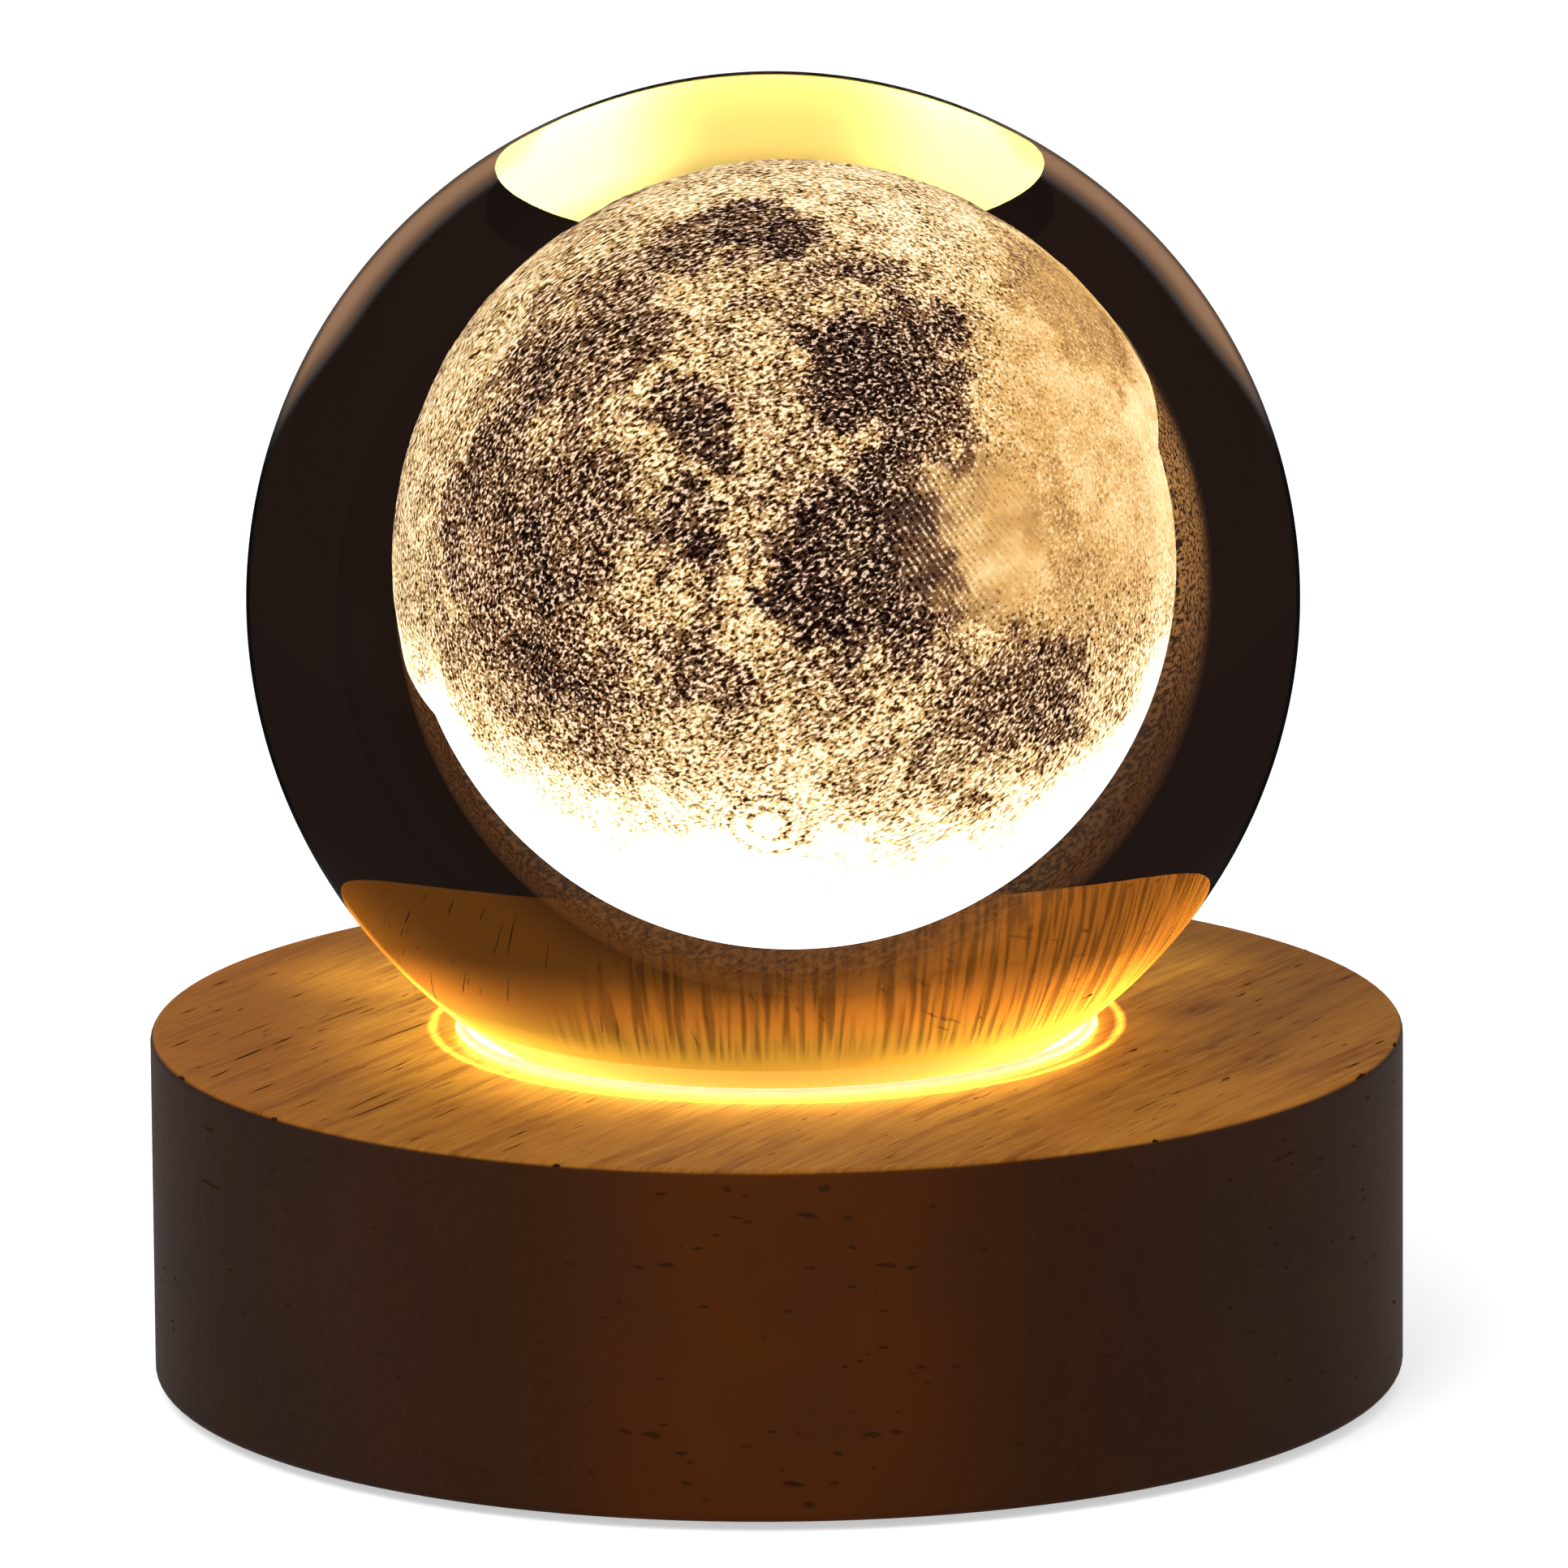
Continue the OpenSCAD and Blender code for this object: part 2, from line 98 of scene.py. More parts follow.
class Shade:
    """A node tree with short calls for the nodes that it is built from."""

    def __init__(self, name, world=False):
        self.data = bpy.data.worlds.new(name) if world else bpy.data.materials.new(name)
        self.data.use_nodes = True
        self.tree = self.data.node_tree
        self.tree.nodes.clear()
        kind = "OutputWorld" if world else "OutputMaterial"
        self.output = self.tree.nodes.new("ShaderNode" + kind)

    def add(self, kind, inputs=None, **settings):
        """A new node with its inputs and settings."""
        node = self.tree.nodes.new("ShaderNode" + kind)
        for key, value in settings.items():
            setattr(node, key, value)
        for key, value in (inputs or {}).items():
            self.put(node.inputs[key], value)
        return node

    def put(self, socket, value):
        """Links a node or an output to an input, or sets its value."""
        if isinstance(value, bpy.types.Node):
            value = value.outputs[0]
        if isinstance(value, bpy.types.NodeSocket):
            self.tree.links.new(value, socket)
        elif isinstance(value, (tuple, list)) and len(value) == 3 and socket.type == "RGBA":
            socket.default_value = (*value, 1)
        else:
            socket.default_value = value

    def math(self, operation, a, b=0.0, clamp=False):
        node = self.add("Math", operation=operation, use_clamp=clamp)
        self.put(node.inputs[0], a)
        self.put(node.inputs[1], b)
        return node.outputs[0]

    def times(self, a, b, clamp=False):
        return self.math("MULTIPLY", a, b, clamp=clamp)

    def plus(self, a, b, clamp=False):
        return self.math("ADD", a, b, clamp=clamp)

    def minus(self, a, b):
        return self.math("SUBTRACT", a, b)

    def size(self, value):
        """The value without its sign."""
        return self.math("ABSOLUTE", value)

    def spread(self, value, low, high, to_low=0.0, to_high=1.0, smooth=True):
        """Maps low..high to to_low..to_high and stops there."""
        node = self.add("MapRange", interpolation_type="SMOOTHSTEP" if smooth else "LINEAR")
        for socket, number in zip(node.inputs, (value, low, high, to_low, to_high)):
            self.put(socket, number)
        return node.outputs[0]

    def mix(self, share, a, b, blend="MIX"):
        """Goes from colour a to colour b as the share goes from 0 to 1."""
        node = self.add("Mix", data_type="RGBA", blend_type=blend)
        self.put(node.inputs[0], share)
        self.put(node.inputs[6], a)
        self.put(node.inputs[7], b)
        return node.outputs[2]

    def layers(self, color, layers):
        """Lays colours over a first one, each up to its share as its value goes from low to high."""
        for value, low, high, share, over in layers:
            color = self.mix(self.spread(value, low, high, 0.0, share), color, over)
        return color

    def ramp(self, value, stops):
        """A colour for each value, by stops of (place, colour)."""
        node = self.add("ValToRGB", {"Fac": value})
        ramp = node.color_ramp
        while len(ramp.elements) < len(stops):
            ramp.elements.new(0.5)
        for element, (place, color) in zip(ramp.elements, stops):
            element.position = place
            element.color = (*color, 1)
        return node.outputs[0]

    def place(self):
        """The point in the row frame at rest, in millimetres."""
        coordinates = self.add("TexCoord").outputs["Object"]
        return self.vector("SCALE", coordinates, scale=1 / MM)

    def normal(self):
        return self.add("TexCoord").outputs["Normal"]

    def vector(self, operation, a, b=(0, 0, 0), scale=1.0):
        node = self.add("VectorMath", operation=operation)
        self.put(node.inputs[0], a)
        self.put(node.inputs[1], b)
        node.inputs[3].default_value = scale
        return node.outputs["Value" if operation in ("LENGTH", "DOT_PRODUCT", "DISTANCE") else "Vector"]

    def axes(self, vector):
        return self.add("SeparateXYZ", {"Vector": vector}).outputs

    def join(self, x, y, z):
        return self.add("CombineXYZ", {"X": x, "Y": y, "Z": z}).outputs[0]

    def noise(self, vector, scale, detail=2.0, rough=0.5, distortion=0.0):
        return self.add("TexNoise", {"Vector": vector, "Scale": scale, "Detail": detail,
                                     "Roughness": rough, "Distortion": distortion}).outputs[0]

    def cells(self, vector, scale, feature):
        return self.add("TexVoronoi", {"Vector": vector, "Scale": scale}, feature=feature).outputs["Distance"]

    def bump(self, height, strength, distance):
        return self.add("Bump", {"Height": height, "Strength": strength, "Distance": distance}).outputs[0]

    def finish(self, surface):
        self.put(self.output.inputs["Surface"], surface)
        return self.data

    def paint(self, **inputs):
        """Finishes with a principled surface. An underscore in a name stands for a space."""
        named = {key.replace("_", " "): value for key, value in inputs.items()}
        return self.finish(self.add("BsdfPrincipled", named))


# Stage

FLOOR_COLOR = (0.9, 0.9, 0.9)
FLOOR_SIDE = 24
PLAIN_LIGHT = 0.62                      # what the surrounding sends to dull surfaces
FLOOR_LIFT = 0.52                       # added to the floor where it is looked at, so that it is white
SOFTBOX_AT = (-0.5, -0.7, 1.1)
SOFTBOX_AIM = (0, 0, 0.03)
SOFTBOX_SIZE = 0.9
SOFTBOX_WATTS = 7


def looked_at(shade):
    """1 for what the camera sees, straight or by way of gloss or glass."""
    path = shade.add("LightPath").outputs
    seen = shade.math("MAXIMUM", path["Is Camera Ray"], path["Is Glossy Ray"])
    return shade.math("MAXIMUM", seen, path["Is Transmission Ray"])


def make_surrounding():
    """White where it is looked at, and softer as a light."""
    shade = Shade("studio", world=True)
    strength = shade.spread(looked_at(shade), 0, 1, PLAIN_LIGHT, 1.0, smooth=False)
    white = shade.add("Background", {"Color": (1, 1, 1), "Strength": strength})
    bpy.context.scene.world = shade.finish(white)


def make_floor():
    """A pale floor that keeps the lamp's shadow."""
    half = FLOOR_SIDE / 2
    corners = [(-half, -half, 0), (half, -half, 0), (half, half, 0), (-half, half, 0)]
    mesh = bpy.data.meshes.new("floor")
    mesh.from_pydata(corners, [], [(0, 1, 2, 3)])
    floor = bpy.data.objects.new("floor", mesh)
    bpy.context.scene.collection.objects.link(floor)
    shade = Shade("floor")
    lift = shade.times(looked_at(shade), FLOOR_LIFT)
    mesh.materials.append(shade.paint(Base_Color=FLOOR_COLOR, Roughness=0.9, Specular_IOR_Level=0.0,
                                      Emission_Color=(1, 1, 1), Emission_Strength=lift))


def make_softbox():
    """A soft lamp from the upper left. Neither gloss nor glass shows it."""
    data = bpy.data.lights.new("softbox", "AREA")
    data.shape = "DISK"
    data.size = SOFTBOX_SIZE
    data.energy = SOFTBOX_WATTS
    lamp = bpy.data.objects.new("softbox", data)
    lamp.location = SOFTBOX_AT
    lamp.visible_glossy = False
    lamp.visible_transmission = False
    aim = Vector(SOFTBOX_AIM) - lamp.location
    lamp.rotation_mode = "QUATERNION"
    lamp.rotation_quaternion = aim.to_track_quat("-Z", "Y")
    bpy.context.scene.collection.objects.link(lamp)


# Materials of the lit pieces

GLASS_IOR = 1.5
GLASS_IN = (0.102, 0.069, 0.055)        # left of the light after one way through the surface
LIMB_PAINTED_DARK = (0.0006, 0.0005, 0.0005)   # and at the very limb, where it is painted near black as a dark outline
SEEN_GAIN = 1 / min(GLASS_IN)
SEEN_TINT = tuple(min(GLASS_IN) / share for share in GLASS_IN)
MIRRORED_TINT = tuple(tint * tint for tint in SEEN_TINT)
POLISH = 0.003                          # share that the outside mirrors
FRONT_POLISH = 0.001                    # and where it faces the viewer
LIMB_TINT = (1.0, 0.57, 0.33)           # colour of the painted reflection band at the limb


def path_of(shade):
    """Three masks: mirrored inside the ball, mirrored by its outside, and all but the first."""
    path = shade.add("LightPath").outputs
    through = path["Is Transmission Ray"]
    inside = shade.times(shade.math("GREATER_THAN", path["Glossy Depth"], 0.5), through)
    outside = shade.times(path["Is Glossy Ray"], shade.minus(1, through))
    return inside, outside, shade.minus(1, inside)


def limb_light(shade, facing):
    """A painted reflection at the outside's limb, set by height: a beige band above, and a faint line low on
    the left.
    """
    x, _, z = shade.axes(shade.place())
    height = shade.minus(z, BALL_Z / MM)
    upper = shade.times(shade.spread(height, 6, 18), shade.spread(height, 26, 28.5, 1.0, 0.0))
    start = shade.spread(upper, 0, 1, 0.9, 0.66, smooth=False)
    band = shade.times(upper, shade.spread(facing, start, shade.plus(start, 0.14), 0.0, 0.3))
    band = shade.times(band, shade.spread(facing, 0.84, 0.93, 1.0, 0.3))
    lower = shade.spread(height, -10, -19)
    soft = shade.spread(facing, 0.5, 0.9, 0.0, 0.007)
    line = shade.times(shade.spread(x, -12, 6, 1.0, 0.1), shade.spread(facing, 0.86, 0.95, 0.0, 0.03))
    return band, shade.times(lower, shade.plus(soft, line))


def glass():
    """Dark polished crystal. A ray is mirrored inside it once at most."""
    shade = Shade("crystal")
    facing = shade.add("LayerWeight", {"Blend": 0.5}).outputs["Facing"]
    # The outside's mirror share, raised by the painted reflection band and line at the limb
    band, low = limb_light(shade, facing)
    outside = shade.spread(facing, 0.26, 0.4, FRONT_POLISH, POLISH)
    outside = shade.plus(outside, shade.plus(band, low))
    first = shade.math("LESS_THAN", shade.add("LightPath").outputs["Glossy Depth"], 0.5)
    inside = shade.add("Fresnel", {"IOR": GLASS_IOR}).outputs[0]
    inside = shade.plus(inside, shade.spread(inside, 0.05, 0.09, 0.0, 0.3), clamp=True)
    inside = shade.times(inside, first)
    share = shade.add("Mix", data_type="FLOAT")
    shade.put(share.inputs[0], shade.add("NewGeometry").outputs["Backfacing"])
    shade.put(share.inputs[2], outside)
    shade.put(share.inputs[3], inside)
    # A painted dark outline: the glass lets almost nothing through at its very limb
    clear = shade.mix(shade.spread(facing, 0.86, 0.9), GLASS_IN, LIMB_PAINTED_DARK)
    body = shade.add("BsdfRefraction", {"Color": clear, "Roughness": 0.0, "IOR": GLASS_IOR})
    # The gloss is painted beige along the band, a painted reflection
    tint = shade.mix(shade.times(band, 8, clamp=True), (1, 1, 1), LIMB_TINT)
    polish = shade.add("BsdfGlossy", {"Color": tint, "Roughness": 0.0})
    both = shade.add("MixShader")
    shade.put(both.inputs[0], share.outputs[0])
    shade.put(both.inputs[1], body)
    shade.put(both.inputs[2], polish)
    return shade.finish(both)


GRAIN = 61                              # the grain's direction in plan, degrees from +X
WINDOW_TOP_Z = 15                       # the window's sill lies below this height, in millimetres
SEAT_GLOW_R = 17.6                      # radii in millimetres
SEAT_GLOW_END_R = 33
OUTER_RING_R = 19.7
# Light that leaves the ball sideways: its place on the top and its strength
SIDE_GLOWS = (((-22, 13), 1.15), ((22, 12), 0.6))


def wood_grain(shade, point):
    """Noise along the grain: fine fibres, broad bands and streaks."""
    turn = shade.add("VectorRotate", {"Vector": point, "Angle": math.radians(-GRAIN)},
                     rotation_type="Z_AXIS").outputs[0]
    wavy = shade.vector("ADD", turn, shade.join(0, shade.noise(turn, 0.06, 2, 0.5), 0))
    grain = shade.add("Mapping", {"Vector": wavy, "Scale": (0.06, 1, 0.35)}).outputs[0]
    fibre = shade.noise(grain, 3.2, 4, 0.65)
    bands = shade.noise(grain, 0.22, 3, 0.5, 0.4)
    streaks = shade.noise(grain, 0.9, 2, 0.5)
    return fibre, bands, streaks


def top_color(shade, x, grain, clouds):
    """Honey brown, darker and redder at the far left."""
    fibre, bands, streaks = grain
    color = shade.mix(bands, (0.27, 0.088, 0.01), (0.46, 0.19, 0.026))
    return shade.layers(color, [
        (streaks, 0.42, 0.72, 0.68, (0.17, 0.045, 0.006)), (fibre, 0.45, 0.75, 0.5, (0.56, 0.25, 0.045)),
        (fibre, 0.46, 0.3, 0.45, (0.14, 0.038, 0.005)), (clouds, 0.4, 0.65, 0.3, (0.5, 0.2, 0.028)),
        (x, -18, -32, 0.4, (0.26, 0.066, 0.006))])


def shaded_side_color(shade, x, fibre, clouds):
    """Dark brown as painted shade, with a painted reddish glow in the middle and deeper painted shade at the
    far left.
    """
    across = shade.size(x)
    color = shade.mix(shade.spread(across, 14, 28), (0.034, 0.0115, 0.004), (0.029, 0.0135, 0.0082))
    color = shade.mix(shade.spread(across, 3, 17), (0.078, 0.019, 0.003), color)
    return shade.layers(color, [
        (clouds, 0.4, 0.65, 0.4, (0.042, 0.016, 0.006)), (fibre, 0.5, 0.75, 0.3, (0.058, 0.024, 0.01)),
        (x, -24, -33, 0.35, (0.008, 0.003, 0.001))])


def seat_light(shade, x, y, radius):
    """Light on the top: a pool round the seat, two spots beside the ball and a thin ring."""
    pool = shade.math("POWER", shade.spread(radius, SEAT_GLOW_R, SEAT_GLOW_END_R, 1.0, 0.0), 2.2)
    pool = shade.times(pool, shade.spread(x, -24, 2, 1.9, 0.55))
    for spot, gain in SIDE_GLOWS:
        off = shade.vector("DISTANCE", shade.join(x, y, 0), (*spot, 0))
        pool = shade.plus(pool, shade.spread(off, 1.0, 10.0, gain, 0.0))
    off = shade.size(shade.minus(radius, OUTER_RING_R))
    ring = shade.times(shade.spread(off, 0.0, 0.42, 3.0, 0.0), shade.spread(shade.size(x), 5, 18, 0.6, 1.7))
    return shade.plus(pool, ring)


def mirrored_light(shade, x, y, radius):
    """The light of the top as the ball's outside mirrors it: brightest at the seat and to the right."""
    angle = shade.math("ARCTAN2", x, shade.times(y, -1))
    ray = shade.join(shade.times(angle, 42), shade.times(radius, 0.1), 0)
    streak = shade.spread(shade.noise(ray, 1.0, 1, 0.6), 0.42, 0.62, 1.15, 0.52)
    streak = shade.mix(shade.spread(x, -17, -8, 1.0, 0.0), streak, (0.75, 0.75, 0.75))
    streak = shade.mix(shade.spread(radius, 18.4, 20.5), (1, 1, 1), streak)
    level = shade.times(shade.spread(radius, 21, 27, 115, 0), shade.spread(x, -6, 20, 1.0, 1.7))
    level = shade.plus(level, shade.spread(x, -6, 20, 44, 100))
    level = shade.plus(level, shade.spread(radius, 18.4, 20.5, 60, 0))
    return shade.times(level, streak)


def wood():
    """Oiled wood, its top lit by the seat and its side in shade."""
    shade = Shade("wood")
    point = shade.place()
    x, y, z = shade.axes(point)
    radius = shade.vector("LENGTH", shade.join(x, y, 0))
    grain = wood_grain(shade, point)
    fibre, streaks = grain[0], grain[2]
    clouds = shade.noise(point, 0.13, 2, 0.5)
    faces_up = shade.spread(shade.axes(shade.normal())[2], 0.5, 0.9)
    top = shade.times(faces_up, shade.spread(z, WINDOW_TOP_Z - 1, WINDOW_TOP_Z + 1))
    # The side gets a painted shaded colour, the top the lit one
    color = shade.mix(top, shaded_side_color(shade, x, fibre, clouds), top_color(shade, x, grain, clouds))
    inside, outside, plain = path_of(shade)
    seen = shade.times(seat_light(shade, x, y, radius), plain)
    mirrored = shade.times(outside, mirrored_light(shade, x, y, radius))
    strength = shade.times(shade.plus(seen, mirrored), top)
    honey = shade.mix(shade.spread(radius, 19, 23), (1.0, 0.46, 0.04), (1.0, 0.31, 0.028))
    warm = shade.mix(1.0, color, (1.0, 1.15, 0.75), "MULTIPLY")
    relief = shade.bump(shade.plus(fibre, shade.times(streaks, 0.5)), 0.4, 0.1 * MM)
    # Where the inside of the ball mirrors the wood, its colour is painted near black, a painted dark
    # reflection
    return shade.paint(Base_Color=shade.mix(inside, color, (0.02, 0.01, 0.006)), Roughness=0.65,
                       Specular_IOR_Level=0.03, Normal=relief,
                       Emission_Color=shade.mix(outside, warm, honey), Emission_Strength=strength)


def pore_dark():
    """Oil and dust in the open pores."""
    # The open pores' colour: near black brown, darker in patches.
    shade = Shade("wood_pore")
    spread = shade.noise(shade.place(), 2.5, 2, 0.6)
    color = shade.mix(spread, (0.012, 0.005, 0.002), (0.06, 0.02, 0.006))
    return shade.paint(Base_Color=color, Roughness=0.9, Specular_IOR_Level=0.0)


MOON_MM = MOON_R / MM
RISE = (0, 0.215, 0.977)                # up and across the line of sight from the front and a little above
FORE = (0, -0.977, 0.215)               # along that line, towards the viewer
BIG_CRATER = (-1.05, -12.05, -9.45)     # millimetres from the moon's centre
BIG_CRATER_RINGS = (0.9, 1.75)
LINES_FROM, LINES_AT = (78, 32), (34, 14)    # centre of the fine lines and middle of their patch, degrees
LINE_PITCH = 0.3
TONES = (0.0, 0.25, 0.45, 0.62, 0.85)
GAP_COLORS = ((0.003, 0.001, 0.001), (0.01, 0.003, 0.001), (0.045, 0.014, 0.004), (0.5, 0.3, 0.12),
              (1.0, 0.95, 0.82))
GROUND_COLORS = ((0.07, 0.032, 0.018), (0.24, 0.115, 0.045), (0.68, 0.41, 0.15), (1.0, 0.78, 0.42),
                 (1.0, 1.0, 0.93))
MARK_COLORS = ((0.74, 0.53, 0.38), (0.97, 0.72, 0.48), (1.0, 0.86, 0.55), (1.0, 0.98, 0.8), (1.0, 1.0, 1.0))


def moon_point(shade):
    """The point from the moon's centre, in millimetres."""
    return shade.vector("SUBTRACT", shade.place(), tuple(MOON_C / MM))


def engraved_grain(shade, point):
    """The worm-like marks of the engraving, which lie along a slant."""
    turn = shade.add("VectorRotate", {"Vector": point, "Angle": math.radians(32)},
                     rotation_type="Y_AXIS").outputs[0]
    grain = shade.add("Mapping", {"Vector": turn, "Scale": (0.55, 1, 1)}).outputs[0]
    return shade.noise(grain, 6.4, 1.0, 0.5, 0.4)


def print_lines(shade, point):
    """Fine concentric lines on the right of the moon, like a fingerprint, and where they show."""
    away = shade.vector("DISTANCE", point, tuple(direction(*LINES_FROM) * MOON_R / MM))
    wave = shade.math("SINE", shade.times(away, 2 * math.pi / LINE_PITCH))
    off = shade.vector("DISTANCE", point, tuple(direction(*LINES_AT) * MOON_R / MM))
    return shade.spread(wave, -1, 1, 0.22, 0.78), shade.spread(off, 2.2, 5.2, 0.7, 0.0)


def crater_rings(shade, point):
    """The two faint arcs of a large crater low on the moon."""
    away = shade.vector("DISTANCE", point, BIG_CRATER)
    lines = 0.0
    for radius in BIG_CRATER_RINGS:
        off = shade.size(shade.minus(away, radius))
        lines = shade.plus(lines, shade.spread(off, 0.0, 0.25, 0.5, 0.0))
    return lines


def lit_from_below(shade, point):
    """How far the painted light from below whitens the marks: at the lower rim and round the large crater."""
    x, y, z = shade.axes(point)
    edge = shade.times(x, shade.times(x, 0.4 / MOON_MM ** 2))
    rise = shade.vector("DOT_PRODUCT", point, tuple(part / MOON_MM for part in RISE))
    lower = shade.plus(shade.minus(edge, rise), shade.times(x, -0.0025))
    low = shade.spread(lower, 0.66, 1.0)
    crest = shade.times(shade.spread(y, -7.5, 0, 0.0, 0.75), shade.spread(z, -1, -7))
    crater = shade.spread(shade.vector("DISTANCE", point, BIG_CRATER), 0.5, 6.5, 0.24, 0.0)
    return shade.plus(low, shade.plus(crest, crater), clamp=True)


def moon_tone(shade, point, low, right):
    """The engraving's brightness before its grain: seas, patches, the crater, the pale rim, and the painted
    light from below and on the right.
    """
    x, y, _ = shade.axes(point)
    sea = shade.add("Attribute", attribute_name="sea").outputs["Fac"]
    patches = shade.spread(shade.noise(point, 0.55, 4, 0.7), 0.3, 0.7, -0.36, 0.28, smooth=False)
    patches = shade.times(patches, shade.spread(right, 0, 1, 1.0, 0.4, smooth=False))
    tone = shade.minus(shade.spread(x, -13, -3, 0.78, 0.88), shade.times(sea, 0.85))
    tone = shade.plus(tone, shade.minus(patches, crater_rings(shade, point)))
    rim = shade.spread(y, -5, -1, 0.0, 0.2)
    tone = shade.plus(tone, shade.plus(low, shade.plus(rim, shade.times(right, 0.16))))
    return shade.times(tone, 0.5)


def moon_marks(shade, point, tone, right):
    """0 between the marks and 1 on a mark. Those on the right are weaker, washed out by the painted light
    there.
    """
    cover = shade.times(shade.minus(tone, 0.3), 0.12)
    worm = shade.spread(shade.plus(engraved_grain(shade, point), cover), 0.36, 0.64, smooth=False)
    line, share = print_lines(shade, point)
    worm = shade.plus(shade.times(worm, shade.minus(1, share)), shade.times(line, share))
    return shade.plus(shade.times(worm, shade.spread(right, 0, 1, 1.0, 0.5)), shade.times(right, 0.28))


def seen_in_ball(shade, base, color, strength=1.0):
    """Marks that shine through the dark glass. The ball's outside doesn't mirror them."""
    tinted = shade.mix(1.0, color, SEEN_TINT, "MULTIPLY")
    shown = shade.times(shade.times(strength, SEEN_GAIN), shade.minus(1, path_of(shade)[1]))
    return shade.paint(Base_Color=base, Roughness=0.8, Specular_IOR_Level=0.0,
                       Emission_Color=tinted, Emission_Strength=shown)


def moon():
    """Cream marks, brightest where the painted light comes from below, with dark seas and a painted golden
    light on the right.
    """
    shade = Shade("engraving")
    point = moon_point(shade)
    x, _, z = shade.axes(point)
    low = lit_from_below(shade, point)
    # Where the painted golden light on the right of the moon lies
    right = shade.times(shade.spread(x, 5, 12), shade.spread(z, -7, 3))
    tone = moon_tone(shade, point, low, right)
    worm = moon_marks(shade, point, tone, right)
    gaps, ground, marks = [shade.ramp(tone, list(zip(TONES, colors)))
                           for colors in (GAP_COLORS, GROUND_COLORS, MARK_COLORS)]
    color = shade.mix(shade.spread(worm, 0.14, 0.42), gaps, ground)
    color = shade.mix(shade.spread(worm, 0.62, 0.9), color, marks)
    # The painted light on the right tints the marks golden
    color = shade.mix(shade.times(right, 0.5), color, (1.0, 0.82, 0.55), "MULTIPLY")
    return seen_in_ball(shade, (0.05, 0.04, 0.03), color, shade.plus(1.22, low))


def moon_shade():
    """The far side's marks in painted shade: dim, fading at their outer edge as seen from the front and paler
    higher up; brighter where they are seen from behind.
    """
    shade = Shade("engraving_shade")
    point = moon_point(shade)
    z = shade.axes(point)[2]
    worm = shade.spread(engraved_grain(shade, point), 0.38, 0.62)
    away = shade.vector("DOT_PRODUCT", shade.vector("NORMALIZE", point), FORE)
    bright = shade.mix(shade.spread(z, -8, 3), (0.1, 0.038, 0.012), (0.48, 0.22, 0.07))
    color = shade.mix(worm, (0.03, 0.011, 0.005), bright)
    # Painted shade, deepening towards the outer edge seen from the front
    color = shade.mix(shade.spread(away, -0.1, -0.34), color, (0.02, 0.008, 0.004))
    patches = shade.spread(shade.noise(point, 0.2, 4, 0.65), 0.35, 0.62, 0.3, 1.0)
    behind = shade.mix(shade.times(worm, patches), (0.1, 0.04, 0.014), (1.0, 0.72, 0.36))
    color = shade.mix(shade.spread(away, -0.36, -0.5), color, behind)
    return seen_in_ball(shade, (0.02, 0.015, 0.01), color)


RIM_Z = cup_hi.z / MM
RIM_GLOW = 0.8
# Strengths where the ball mirrors the seat: inside it, there in the middle, and by its outside
SEAT_MIRRORED, MIDDLE_MIRRORED, SEAT_IN_GLOSS = 2300, 980, 270


def lit(name, base, plain_color, plain_strength, **settings):
    """A piece of the seat, lit warm from below and far brighter where the inside of the ball mirrors it."""
    shade = Shade(name)
    x, _, z = shade.axes(shade.place())
    inside, outside, _ = path_of(shade)
    middle = shade.spread(shade.size(x), 2, 14, 1.0, 0.0)
    rim = shade.spread(z, RIM_Z - 0.5, RIM_Z - 0.15)
    mottle = shade.spread(shade.noise(shade.place(), 1.3, 2, 0.5), 0.3, 0.7, 0.88, 1.1)
    strength = shade.times(shade.spread(rim, 0, 1, plain_strength, RIM_GLOW, smooth=False), mottle)
    mirrored = shade.spread(middle, 0, 1, SEAT_MIRRORED, MIDDLE_MIRRORED)
    strength = shade.plus(strength, shade.times(inside, mirrored))
    strength = shade.plus(strength, shade.times(outside, SEAT_IN_GLOSS))
    color = shade.mix(rim, plain_color, (1.0, 0.6, 0.27))
    color = shade.mix(outside, color, (1.0, 0.5, 0.07))
    yellow = shade.mix(shade.spread(x, -14, 4), (1.0, 0.8, 0.2), (1.0, 0.9, 0.31))
    yellow = shade.mix(middle, yellow, (1.0, 0.68, 0.16))
    color = shade.mix(inside, color, shade.mix(1.0, yellow, MIRRORED_TINT, "MULTIPLY"))
    return shade.paint(Base_Color=base, Specular_IOR_Level=0.1, Emission_Color=color,
                       Emission_Strength=strength, **settings)


# Materials of the other pieces


def moulded(name, color, roughness=0.55, grain=9.0, relief=0.02):
    """Moulded plastic or rubber with a fine, even texture."""
    shade = Shade(name)
    point = shade.place()
    fine = shade.noise(point, grain, 3, 0.6)
    cloud = shade.noise(point, 0.35, 2, 0.5)
    pale = tuple(min(1, 1.25 * c + 0.004) for c in color)
    tone = shade.mix(shade.spread(cloud, 0.35, 0.65), color, pale)
    rough = shade.spread(fine, 0.3, 0.7, roughness - 0.06, roughness + 0.06)
    return shade.paint(Base_Color=tone, Roughness=rough, Specular_IOR_Level=0.35,
                       Normal=shade.bump(fine, 0.5, relief * MM))


def brushed(name, color, roughness=0.3, along=(0.1, 1, 1)):
    """Plated metal with fine lines."""
    shade = Shade(name)
    stretched = shade.add("Mapping", {"Vector": shade.place(), "Scale": along}).outputs[0]
    lines = shade.noise(stretched, 14, 3, 0.6)
    dull = tuple(0.82 * c for c in color)
    tone = shade.mix(shade.spread(lines, 0.3, 0.7), dull, color)
    rough = shade.spread(lines, 0.3, 0.7, roughness - 0.07, roughness + 0.1)
    return shade.paint(Base_Color=tone, Metallic=1.0, Roughness=rough,
                       Normal=shade.bump(lines, 0.3, 0.01 * MM))


